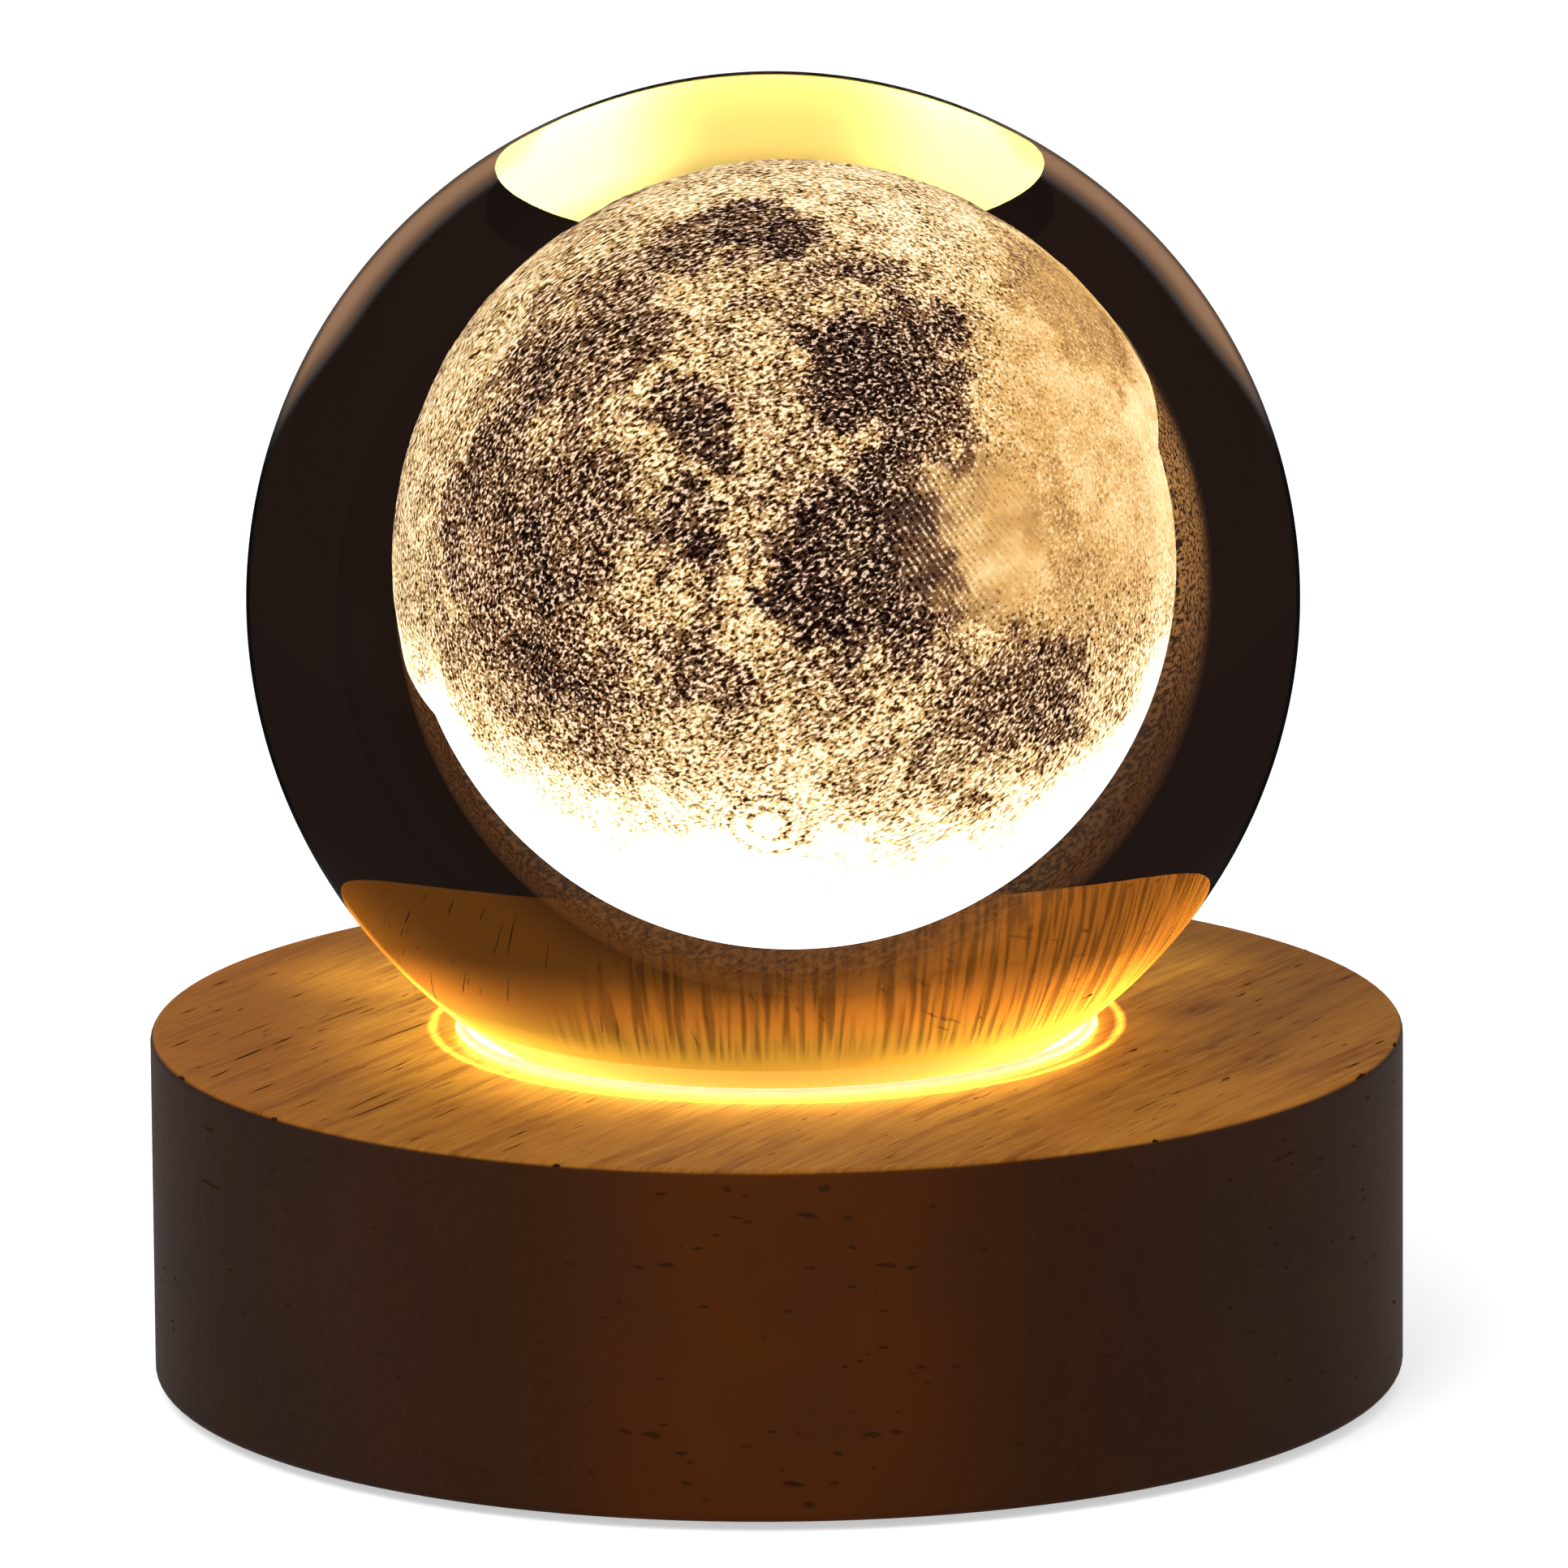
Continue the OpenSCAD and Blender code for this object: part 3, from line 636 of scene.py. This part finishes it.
def green_mask():
    """Green solder mask over copper tracks."""
    shade = Shade("board_green")
    point = shade.place()
    grid = shade.add("Mapping", {"Vector": point, "Scale": (0.45, 0.9, 0)}).outputs[0]
    track = shade.spread(shade.cells(grid, 1.0, "DISTANCE_TO_EDGE"), 0.05, 0.09, 1.0, 0.0)
    color = shade.mix(track, (0.016, 0.13, 0.05), (0.04, 0.25, 0.09))
    stain = shade.spread(shade.noise(point, 5, 2, 0.5), 0.4, 0.7, 0.0, 0.3)
    color = shade.mix(stain, color, (0.012, 0.1, 0.04))
    return shade.paint(Base_Color=color, Roughness=0.32, Normal=shade.bump(track, 0.5, 0.03 * MM))


def ceramic():
    """Dark glazed chips with paler ends."""
    shade = Shade("chip_ceramic")
    speck = shade.noise(shade.place(), 12, 2, 0.5)
    color = shade.mix(shade.spread(speck, 0.4, 0.7), (0.035, 0.035, 0.04), (0.09, 0.09, 0.1))
    return shade.paint(Base_Color=color, Roughness=0.4)


PHOSPHOR_GLOW = 3.5
PHOSPHOR_MIRRORED = 4000                # where the inside of the ball mirrors it


def phosphor():
    """Yellow phosphor under clear resin, lit."""
    shade = Shade("led_phosphor")
    speck = shade.spread(shade.noise(shade.place(), 10, 2, 0.6), 0.35, 0.65)
    color = shade.mix(speck, (0.95, 0.68, 0.16), (1.0, 0.82, 0.3))
    strength = shade.plus(PHOSPHOR_GLOW, shade.times(path_of(shade)[0], PHOSPHOR_MIRRORED))
    return shade.paint(Base_Color=color, Roughness=0.2, Emission_Color=(1.0, 0.87, 0.58),
                       Emission_Strength=strength, Coat_Weight=0.6, Coat_Roughness=0.05)


# Mesh pieces


def piece(name, verts, faces, body, material, slot, replaces=(), bevel=0.0):
    """A piece that rides a body: smooth, or flat with edges rounded by bevel millimetres."""
    mesh = bpy.data.meshes.new(name)
    mesh.from_pydata([tuple(v) for v in verts], [], faces)
    mesh.validate()
    if bevel:
        mesh.shade_flat()
    else:
        mesh.shade_smooth()
    obj = bpy.data.objects.new(name, mesh)
    bpy.context.scene.collection.objects.link(obj)
    mesh.materials.append(material)
    if bevel:
        soften(obj, bevel)
    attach(obj, body)
    if replaces:
        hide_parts(*replaces)
    return obj


def soften(obj, width):
    """Rounds the sharp edges of an object by width millimetres."""
    bevel = obj.modifiers.new("edges", "BEVEL")
    bevel.width = width * MM
    bevel.segments = 2
    bevel.limit_method = "ANGLE"
    bevel.angle_limit = math.radians(40)


def ball_mesh(centre, radius, around, up):
    """A sphere of quads with a pole at the top and one at the bottom."""
    verts = [centre + Vector((0, 0, radius))]
    for i in range(1, up):
        polar = math.pi * i / up
        for k in range(around):
            turn = 2 * math.pi * k / around
            verts.append(centre + radius * Vector((math.sin(polar) * math.cos(turn),
                                                   math.sin(polar) * math.sin(turn), math.cos(polar))))
    verts.append(centre - Vector((0, 0, radius)))
    last = len(verts) - 1
    faces = [(0, 1 + k, 1 + (k + 1) % around) for k in range(around)]
    for i in range(up - 2):
        row, below = 1 + i * around, 1 + (i + 1) * around
        faces += [(row + k, below + k, below + (k + 1) % around, row + (k + 1) % around)
                  for k in range(around)]
    row = 1 + (up - 2) * around
    faces += [(row + k, last, row + (k + 1) % around) for k in range(around)]
    return verts, faces


BOX_FACES = [(0, 1, 3, 2), (4, 6, 7, 5), (0, 4, 5, 1), (2, 3, 7, 6), (0, 2, 6, 4), (1, 5, 7, 3)]


class Build:
    """Collects the vertices and faces of one piece, in millimetres."""

    def __init__(self):
        self.verts = []
        self.faces = []

    def add(self, verts, faces):
        start = len(self.verts)
        self.verts += [Vector(v) * MM for v in verts]
        self.faces += [tuple(start + i for i in face) for face in faces]

    def box(self, centre, size, turn=0.0):
        """A box round centre, carried by turn degrees round the axis of the base."""
        spin = Matrix.Rotation(math.radians(turn), 3, "Z")
        corners = [spin @ Vector([c + s * d / 2 for c, s, d in zip(centre, signs, size)])
                   for signs in itertools.product((-1, 1), repeat=3)]
        self.add(corners, BOX_FACES)

    def turned(self, profile, place=(0, 0, 0), along_y=False, around=64, closed=True):
        """Turns a profile of (radius, height) round +Z, or round +Y, at place."""
        count = len(profile)
        verts = []
        for k in range(around):
            c, s = math.cos(2 * math.pi * k / around), math.sin(2 * math.pi * k / around)
            for r, h in profile:
                local = (r * c, h, -r * s) if along_y else (r * c, r * s, h)
                verts.append(tuple(a + b for a, b in zip(local, place)))
        faces = []
        for k in range(around):
            row, after = k * count, (k + 1) % around * count
            for i in range(count if closed else count - 1):
                j = (i + 1) % count
                faces.append((row + i, after + i, after + j, row + j))
        self.add(verts, faces)

    def frame(self, outlines):
        """Joins closed outlines of the same length into a ring-shaped skin."""
        count = len(outlines[0])
        verts = [point for outline in outlines for point in outline]
        faces = []
        for i in range(len(outlines)):
            row, after = i * count, (i + 1) % len(outlines) * count
            faces += [(row + k, row + (k + 1) % count, after + (k + 1) % count, after + k)
                      for k in range(count)]
        self.add(verts, faces)

    def pore(self, centre, along, across, length, width, rng):
        """A thin pointed slit with an uneven edge."""
        steps = 5
        upper, lower = [], []
        for i in range(1, steps):
            t = i / steps
            half = width / 2 * math.sin(math.pi * t) ** 0.7
            middle = centre + along * (t - 0.5) * length
            upper.append(middle + across * half * rng.uniform(0.5, 1.2))
            lower.append(middle - across * half * rng.uniform(0.5, 1.2))
        ends = [centre - along * length / 2, centre + along * length / 2]
        self.add([ends[0], *lower, ends[1], *reversed(upper)], [tuple(range(2 * steps))])

    def make(self, name, *rest, **settings):
        piece(name, self.verts, self.faces, *rest, **settings)


def stadium(width, height, centre, y, steps=12):
    """The outline of a stadium in X and Z, in the plane y."""
    points = []
    reach = (width - height) / 2
    for side, start in ((1, -90), (-1, 90)):
        for i in range(steps + 1):
            angle = math.radians(start + 180 * i / steps)
            points.append((centre[0] + side * reach + height / 2 * math.cos(angle), y,
                           centre[1] + height / 2 * math.sin(angle)))
    return points


# Wood

# Long pores of the top: x, y, length and width, in millimetres
TOP_PORES = [
    (-21.7, -2.1, 7.8, 0.17), (-18.6, -7.2, 4.4, 0.13), (-29.0, -15.2, 3.1, 0.17), (-30.0, -6.9, 3.6, 0.2),
    (-28.2, -3.6, 2.6, 0.16), (-31.5, -11.6, 3.0, 0.12), (-23.0, -18.4, 6.0, 0.12), (-22.5, -20.2, 6.2, 0.14),
    (-26.3, -18.8, 3.0, 0.11), (-14.4, -26.6, 2.6, 0.14), (-14.6, -29.6, 2.8, 0.14), (-21.5, -10.0, 4.6, 0.1),
    (-34.0, -4.1, 2.4, 0.14), (-33.8, 4.0, 1.9, 0.12), (-24.9, 2.9, 6.0, 0.09), (-18.8, -14.7, 2.8, 0.1),
    (-18.4, -21.2, 4.0, 0.1), (-30.1, -1.0, 6.5, 0.08), (20.3, -7.6, 0.9, 0.3), (20.6, -21.2, 3.8, 0.1),
    (34.3, -6.1, 1.3, 0.2), (32.6, -11.7, 1.9, 0.16), (25.3, -14.7, 1.1, 0.16), (26.8, 6.0, 1.6, 0.14),
    (30.3, 13.3, 1.2, 0.13), (27.4, -3.7, 1.3, 0.12), (27.2, 8.6, 1.4, 0.13), (6.5, -29.5, 2.6, 0.08),
]
# Pores of the side: degrees from the front towards +X, height, length and width, in millimetres
SIDE_PORES = [
    (-4.5, 19.6, 0.5, 0.3), (4.1, 19.6, 0.7, 0.5), (2.6, 18.1, 1.3, 0.3), (6.2, 17.9, 0.6, 0.25),
    (-3.6, 18.0, 0.8, 0.15), (6.6, 16.2, 0.6, 0.2), (-7.1, 16.2, 0.6, 0.15), (-10.0, 15.2, 1.0, 0.3),
    (-12.4, 15.0, 0.7, 0.2), (2.8, 15.1, 0.7, 0.15), (9.6, 15.1, 1.2, 0.28), (11.8, 14.9, 0.7, 0.2),
    (6.5, 14.0, 0.5, 0.2), (-6.6, 12.9, 0.6, 0.15), (12.7, 9.2, 0.7, 0.2), (-13.8, 5.6, 0.8, 0.3),
    (-11.4, 5.5, 1.2, 0.35), (8.2, 5.5, 1.1, 0.35), (10.4, 5.6, 0.8, 0.25), (-0.7, 5.8, 0.6, 0.2),
    (-8.7, 4.5, 0.7, 0.25), (5.2, 4.5, 0.6, 0.3), (1.2, 2.8, 1.3, 0.3), (-8.2, 2.8, 0.6, 0.25),
    (4.8, 2.8, 0.6, 0.2), (2.6, 1.6, 0.7, 0.5), (-10.3, 6.1, 0.5, 0.15), (-63.0, 15.3, 2.6, 0.16),
    (-63.4, 18.5, 1.6, 0.14), (52.0, 17.8, 1.8, 0.16),
]
# Nicks of the top's rim: degrees from the front towards +X, and length
RIM_NICKS = [
    (-70.4, 1.1), (67.3, 1.6), (80.0, 0.9), (-52.0, 0.6),
    (36.0, 0.5), (-20.0, 0.5), (120.0, 0.8), (205.0, 0.7),
]
TOP_COUNT = 230                         # with the short pores at random places
SIDE_COUNT = 420
PORE_LIFT = 0.012                       # millimetres off the wood
RIM_ROUND = 0.5                         # radius of the wood's upper edge
SEED = 7
UP = Vector((0, 0, 1))


def top_pores(build, rng, radius, top):
    """Pores along the grain, clear of the mouth and of the rim."""
    pores = list(TOP_PORES)
    while len(pores) < TOP_COUNT:
        away, turn = rng.uniform(20.5, radius - 1.2), rng.uniform(0, 2 * math.pi)
        length, width = rng.uniform(0.4, 2.0), rng.uniform(0.04, 0.1)
        pores.append((away * math.cos(turn), away * math.sin(turn), length, width))
    for x, y, length, width in pores:
        turn = math.radians(GRAIN + rng.uniform(-3, 3))
        along = Vector((math.cos(turn), math.sin(turn), 0))
        centre = Vector((x, y, top + PORE_LIFT))
        ends = [(centre + along * length * s).to_2d().length for s in (-0.5, 0.5)]
        if min(ends) > MOUTH_R / MM + 0.2 and max(ends) < radius - 0.55:
            build.pore(centre, along, along.cross(UP), length, width, rng)


def side_pores(build, rng, radius):
    """Pores round the side, but none at the window."""
    pores = list(SIDE_PORES)
    while len(pores) < SIDE_COUNT:
        lon, height = rng.uniform(-180, 180), rng.uniform(1.6, 19.4)
        length, width = rng.uniform(0.15, 0.7), rng.uniform(0.06, 0.2)
        pores.append((lon, height, length, width))
    for lon, height, length, width in pores:
        away = direction(lon, 0)
        if away.y > 0.8 and abs(away.x) < 0.45 and 3 < height < 12.5:
            continue
        along = UP.cross(away)
        along = (along + Vector((0, 0, rng.uniform(-0.25, 0.1)))).normalized()
        centre = away * (radius + PORE_LIFT) + Vector((0, 0, height))
        build.pore(centre, along, away.cross(along), length, width, rng)


def rim_nicks(build, rng, radius, top):
    """Nicks in the rounded upper edge."""
    for lon, length in RIM_NICKS:
        away = direction(lon, 0)
        along = UP.cross(away)
        out = (away + UP).normalized()
        middle = away * (radius - RIM_ROUND) + Vector((0, 0, top - RIM_ROUND)) + out * (RIM_ROUND + PORE_LIFT)
        build.pore(middle, along, out.cross(along), length, 0.3, rng)


def wood_pores():
    """Open pores in the top and round the side, and a few nicks in the rim."""
    rng = random.Random(SEED)
    build = Build()
    radius, top = WOOD_R / MM, TOP_Z / MM
    top_pores(build, rng, radius, top)
    side_pores(build, rng, radius)
    rim_nicks(build, rng, radius, top)
    build.make("wood_pores", "base", pore_dark(), "wood")


# The engraved moon


def direction(lon, lat):
    """A unit vector: lon counts from the front (-Y) towards +X, lat from the equator up, in degrees."""
    lon, lat = math.radians(lon), math.radians(lat)
    return Vector((math.cos(lat) * math.sin(lon), -math.cos(lat) * math.cos(lon), math.sin(lat)))


# Each sea: longitude, latitude, radius in degrees and darkness
SEAS = [
    (-66, 81, 8, 1.0), (-10, 82, 7, 1.0), (-61, 73, 5, 0.6), (36, 68, 6, 0.8), (42, 65, 5, 0.5),
    (16, 51, 7, 0.95), (23, 44, 8, 1.0), (9, 45, 5, 0.6), (32, 53, 6, 0.8), (16, 40, 6, 0.9),
    (45, 54, 6, 0.9), (37, 43, 6, 0.85), (26, 34, 6, 0.8), (35, 33, 5, 0.6), (22, 26, 6, 0.7),
    (-24, 40, 6, 0.8), (-17, 35, 5, 0.7), (-18, 18, 7, 0.85), (-16, 11, 5, 0.7), (13, 20, 10, 0.95),
    (4, 19, 7, 0.7), (20, 13, 9, 0.85), (2, 7, 8, 1.0), (11, 1, 7, 0.9), (20, 1, 7, 0.75),
    (26, 3, 6, 0.5), (53, -12, 6, 0.75), (43, -10, 6, 0.5), (54, -21, 6, 0.6), (40, -18, 7, 0.45),
    (33, -15, 7, 0.4), (38, -34, 4, 0.5), (-44, 16, 14, 0.45), (-66, 19, 10, 0.45), (-53, 1, 12, 0.45),
    (-73, 10, 7, 0.4), (-69, 36, 8, 0.4), (-48, 46, 8, 0.35), (-42, -7, 7, 0.5), (-36, -11, 6, 0.35),
    (-16, -8, 7, 0.45), (-71, 61, 8, 0.35), (-69, 48, 12, 0.45), (-75, 70, 6, 0.35), (-44, 53, 6, 0.35),
    (150, 35, 20, 0.8), (185, 12, 24, 0.8), (215, 40, 15, 0.7), (170, -25, 16, 0.6), (125, 5, 14, 0.7),
    (235, 5, 17, 0.6), (100, 40, 15, 0.5),
]
SEA_REACH, SEA_EDGE = 1.3, 0.6          # shares of a sea's radius: its end and the width of its soft edge
SEA_DEPTH, GRAIN_HEIGHT = 0.07, 0.03    # millimetres
CRATERS = 46                            # on the same spiral as the solid's
GOLDEN = 137.508
CRATER_REACH = 1.5                      # share of its radius that a crater shapes
CRATER_DEPTH, LIP_HEIGHT = 0.3, 0.06    # millimetres, of the deepest one
MOON_STEPS = (448, 224)                 # faces round the axis and from pole to pole
BALL_STEPS = (256, 128)


def crater_list():
    """Direction, radius in degrees and depth share of each crater."""
    found = []
    for i in range(CRATERS):
        lat = math.degrees(math.asin(1 - (2 * i + 1) / CRATERS))
        lon = (i + 0.5) * GOLDEN
        share = 0.3 + 0.7 * abs(math.sin(math.radians(i * 77.7))) ** 3
        found.append((direction(lon + 180, lat), 7.2 * share, share))
    return found


def sea_at(way, seas):
    """How dark the moon is at a direction, 0 to 1. Noise bends the seas' outlines."""
    warp = 0.05 * mnoise.noise_vector(way * 3.1) + 0.09 * mnoise.noise_vector(way * 8.3)
    bent = way + warp + 0.06 * mnoise.noise_vector(way * 19) + 0.03 * mnoise.noise_vector(way * 41)
    bent.normalize()
    light = 1.0
    for centre, radius, dark in seas:
        away = math.degrees(math.acos(max(-1, min(1, bent.dot(centre))))) / radius
        if away < SEA_REACH:
            edge = max(0.0, min(1.0, (SEA_REACH - away) / SEA_EDGE))
            light *= 1 - dark * edge * edge * (3 - 2 * edge)
    patches = 0.5 + 0.5 * mnoise.fractal(way * 4.3, 0.7, 2.0, 4)
    return max(0.0, min(1.0, 1 - light * (0.66 + 0.46 * patches)))


def height_at(way, sea, craters):
    """The relief at a direction, in millimetres: sunk seas, grain and dished craters."""
    height = -SEA_DEPTH * sea + GRAIN_HEIGHT * mnoise.fractal(way * 9, 0.8, 2.0, 3)
    for centre, radius, share in craters:
        cosine = way.dot(centre)
        if cosine > 0.98:
            away = math.degrees(math.acos(min(1, cosine))) / radius
            if away < CRATER_REACH:
                bowl = -CRATER_DEPTH * share * max(0.0, 1 - away * away)
                lip = LIP_HEIGHT * share * math.exp(-((away - 1.08) / 0.18) ** 2)
                height += bowl + lip
    return height - GRAIN_HEIGHT


def moon_relief():
    """The engraved sphere with its seas sunk a little and its craters dished."""
    mnoise.seed_set(SEED)
    seas = [(direction(lon, lat), radius, dark) for lon, lat, radius, dark in SEAS]
    craters = crater_list()
    verts, faces = ball_mesh(Vector((0, 0, 0)), 1.0, *MOON_STEPS)
    darkness = [sea_at(way, seas) for way in verts]
    moved = [MOON_C + way * (MOON_R + height_at(way, sea, craters) * MM) for way, sea in zip(verts, darkness)]
    obj = piece("moon_relief", moved, faces, "ball", moon(), "engraving", ("engraved_moon",))
    obj.data.attributes.new("sea", "FLOAT", "POINT").data.foreach_set("value", darkness)


# Seat and LED board

LED_COUNT = 6
LED_RING_R = 7.5                        # millimetres, like the solids'
CHIP_RING_R = 11.1
TRACK_RINGS = (5.15, 9.75)              # radii of the tracks on both sides of the LEDs
EDGE_TRACK_R = 12.5


def led_board_marks(solder, copper):
    """Solder fillets at the ends of the LEDs and chips, and raised tracks that join them."""
    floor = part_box("led_board")[1].z / MM
    joints, tracks = Build(), Build()
    for i in range(LED_COUNT):
        turn = i * 360 / LED_COUNT
        for end in (-1, 1):
            joints.box((LED_RING_R + end * 1.98, 0, floor + 0.12), (0.42, 2.0, 0.24), turn)
            joints.box((CHIP_RING_R + end * 1.13, 0, floor + 0.1), (0.24, 1.1, 0.2), turn + 180 / LED_COUNT)
        for radius in TRACK_RINGS:
            tracks.add(*arc_strip(radius, 0.35, turn + 4, turn + 56, floor + 0.03))
    tracks.add(*arc_strip(EDGE_TRACK_R, 0.3, 0, 352, floor + 0.03))
    joints.make("led_solder", "base", solder, "screw_steel", bevel=0.06)
    tracks.make("led_tracks", "base", copper, "board_white")


def arc_strip(radius, width, start, end, z, steps=24):
    """A flat strip along an arc, in degrees."""
    verts, faces = [], []
    for i in range(steps + 1):
        angle = math.radians(start + (end - start) * i / steps)
        for r in (radius - width / 2, radius + width / 2):
            verts.append((r * math.cos(angle), r * math.sin(angle), z))
    for i in range(steps):
        faces.append((2 * i, 2 * i + 1, 2 * i + 3, 2 * i + 2))
    return verts, faces


# The back: inlet and button

BUTTON_RIDGES = 3
CONTACTS = 12                           # in each of the two rows on the tongue
CONTACT_PITCH = 0.5
# Outlines round the shell: wider and higher by, and out of its face by, in millimetres
LIP_STEPS = ((-0.6, -0.5), (-0.6, -0.08), (-0.3, 0.06), (-0.02, 0.02), (-0.02, -0.5))
FRAME_STEPS = ((0.5, -0.1), (0.5, 0.18), (0.7, 0.26), (1.5, 0.26), (1.8, 0.0), (1.8, -0.1))


def inlet_details(steel, gold, plastic):
    """The socket's flared lip, its rows of contacts and the raised frame round it."""
    lo, hi = (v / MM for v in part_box("usb_shell"))
    centre = ((lo.x + hi.x) / 2, (lo.z + hi.z) / 2)
    width, height, face = hi.x - lo.x, hi.z - lo.z, hi.y
    for name, steps, paint, slot in (("inlet_lip", LIP_STEPS, steel, "socket_steel"),
                                     ("inlet_frame", FRAME_STEPS, plastic, "black_plastic")):
        ring = Build()
        ring.frame([stadium(width + grow, height + grow, centre, face + out) for grow, out in steps])
        ring.make(name, "base", paint, slot)
    contacts = Build()
    tongue_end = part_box("usb_tongue")[1].y / MM
    for side in (-1, 1):
        for i in range(CONTACTS):
            x = centre[0] + (i - (CONTACTS - 1) / 2) * CONTACT_PITCH
            contacts.box((x, tongue_end - 1.6, centre[1] + side * 0.355), (0.26, 2.6, 0.05))
    contacts.make("inlet_contacts", "base", gold, "socket_steel")


def cap_profile(flange_r, cap_r, root, face):
    """Radius and place along Y of the stem, the flange and the cap with its rounded rim and ridges."""
    flange = root + 4.3
    profile = [(0.01, root), (1.0, root), (1.2, root + 0.2), (1.2, flange), (flange_r - 0.1, flange),
               (flange_r, flange + 0.1), (flange_r, flange + 0.9), (flange_r - 0.1, flange + 1.0),
               (cap_r, flange + 1.0), (cap_r, face - 0.5)]
    for i in range(1, 7):
        angle = math.radians(15 * i)
        profile.append((cap_r - 0.5 + 0.5 * math.cos(angle), face - 0.5 + 0.42 * math.sin(angle)))
    for i in range(BUTTON_RIDGES):
        radius = cap_r - 0.75 - 0.42 * i
        profile += [(radius, face - 0.1), (radius - 0.07, face - 0.02), (radius - 0.2, face - 0.02),
                    (radius - 0.27, face - 0.1)]
    return profile + [(0.5, face - 0.12), (0.01, face)]


def button_cap(plastic):
    """The push button with fine ridges round its dished face, and a collar round it."""
    lo, hi = (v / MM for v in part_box("push_button"))
    centre = ((lo.x + hi.x) / 2, 0, (lo.z + hi.z) / 2)
    flange_r = (hi.z - lo.z) / 2
    cap_r = flange_r - 0.6
    build = Build()
    build.turned(cap_profile(flange_r, cap_r, lo.y, hi.y), centre, along_y=True, closed=False)
    build.make("button_cap", "button", plastic, "button_plastic", ("push_button",))
    collar = Build()
    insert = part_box("port_insert")[1].y / MM
    collar.turned([(cap_r + 0.25, insert - 0.1), (cap_r + 0.25, insert + 0.18), (cap_r + 0.35, insert + 0.26),
                   (cap_r + 0.65, insert + 0.26), (cap_r + 0.85, insert), (cap_r + 0.85, insert - 0.1)],
                  centre, along_y=True)
    collar.make("button_collar", "base", plastic, "black_plastic")


# The underside


FOOT_R = 4.0
FEET = 4


def feet(rubber):
    """Rubber feet with rounded edges and two grooves in each sole."""
    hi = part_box("rubber_feet")[1] / MM
    place_r, height = hi.x - FOOT_R, hi.z
    profile = [(0.01, 0.0), (1.2, 0.0), (1.3, 0.12), (1.6, 0.12), (1.7, 0.0), (2.4, 0.0),
               (2.5, 0.12), (2.8, 0.12), (2.9, 0.0), (FOOT_R - 0.35, 0.0), (FOOT_R - 0.1, 0.1),
               (FOOT_R, 0.35), (FOOT_R, height - 0.02), (0.01, height - 0.02)]
    build = Build()
    for i in range(FEET):
        angle = 2 * math.pi * i / FEET
        build.turned(profile, (place_r * math.cos(angle), place_r * math.sin(angle), 0), closed=False)
    build.make("feet_grooved", "base", rubber, "foot_rubber", ("rubber_feet",))


def cover_ribs(plastic):
    """Two low ribs and a small ring in the middle of the bottom cover."""
    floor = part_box("bottom_cover")[0].z / MM
    build = Build()
    for inner, outer in ((0.9, 1.3), (11.0, 11.7), (15.0, 15.7)):
        build.turned([(inner, floor + 0.1), (inner, floor - 0.12), (inner + 0.1, floor - 0.2),
                      (outer - 0.1, floor - 0.2), (outer, floor - 0.12), (outer, floor + 0.1)])
    build.make("cover_ribs", "base", plastic, "black_plastic")


# The lamp

bpy.context.scene.view_settings.view_transform = "Standard"
make_camera()
make_surrounding()
make_floor()
make_softbox()

verts, faces = ball_mesh(Vector((0, 0, BALL_Z)), BALL_R, *BALL_STEPS)
piece("glass_ball", verts, faces, "ball", glass(), "crystal", ("crystal_ball",))
moon_relief()
wood_pores()

steel = brushed("screw_steel", (0.6, 0.6, 0.62))
socket_steel = brushed("socket_steel", (0.72, 0.72, 0.74), 0.24, (1, 0.1, 1))
gold = brushed("contact_gold", (0.83, 0.6, 0.25), 0.25, (1, 0.1, 1))
black = moulded("black_plastic", (0.022, 0.022, 0.025))
button_black = moulded("button_plastic", (0.016, 0.016, 0.018), 0.38, 14, 0.008)
socket_black = moulded("socket_plastic", (0.014, 0.014, 0.016), 0.5)
package = lit("led_package", (0.93, 0.92, 0.88), (1.0, 0.8, 0.5), 0.5, Roughness=0.5)
white_board = lit("board_white", (0.85, 0.84, 0.8), (1.0, 0.72, 0.36), 0.4, Roughness=0.35)

led_board_marks(steel, white_board)
inlet_details(socket_steel, gold, black)
button_cap(button_black)
feet(moulded("foot_rubber", (0.02, 0.02, 0.022), 0.8, 6, 0.04))
cover_ribs(black)

PAINTS = {
    "moon_dark_limb": moon_shade(),
    "seat_ring": lit("clear_silicone", (0.9, 0.84, 0.7), (1.0, 0.62, 0.2), 1.1, Roughness=0.3),
    "light_cup": lit("cup_plastic", (0.9, 0.75, 0.5), (1.0, 0.55, 0.14), 0.9, Roughness=0.4),
    "wood_base": wood(),
    "led_board": white_board,
    "led_chips": package,
    "led_phosphors": phosphor(),
    "led_resistors": ceramic(),
    "led_screws": steel,
    "lead_red": moulded("lead_red", (0.5, 0.02, 0.015), 0.45, 5),
    "lead_black": moulded("lead_black", (0.015, 0.015, 0.016), 0.45, 5),
    "power_board": green_mask(),
    "smd_parts": ceramic(),
    "board_screws": steel,
    "usb_shell": socket_steel,
    "usb_tongue": socket_black,
    "switch_body": socket_black,
    "port_insert": black,
    "bottom_cover": black,
    "cover_screws": steel,
}
for node, paint in PAINTS.items():
    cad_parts[node].data.materials[0] = paint
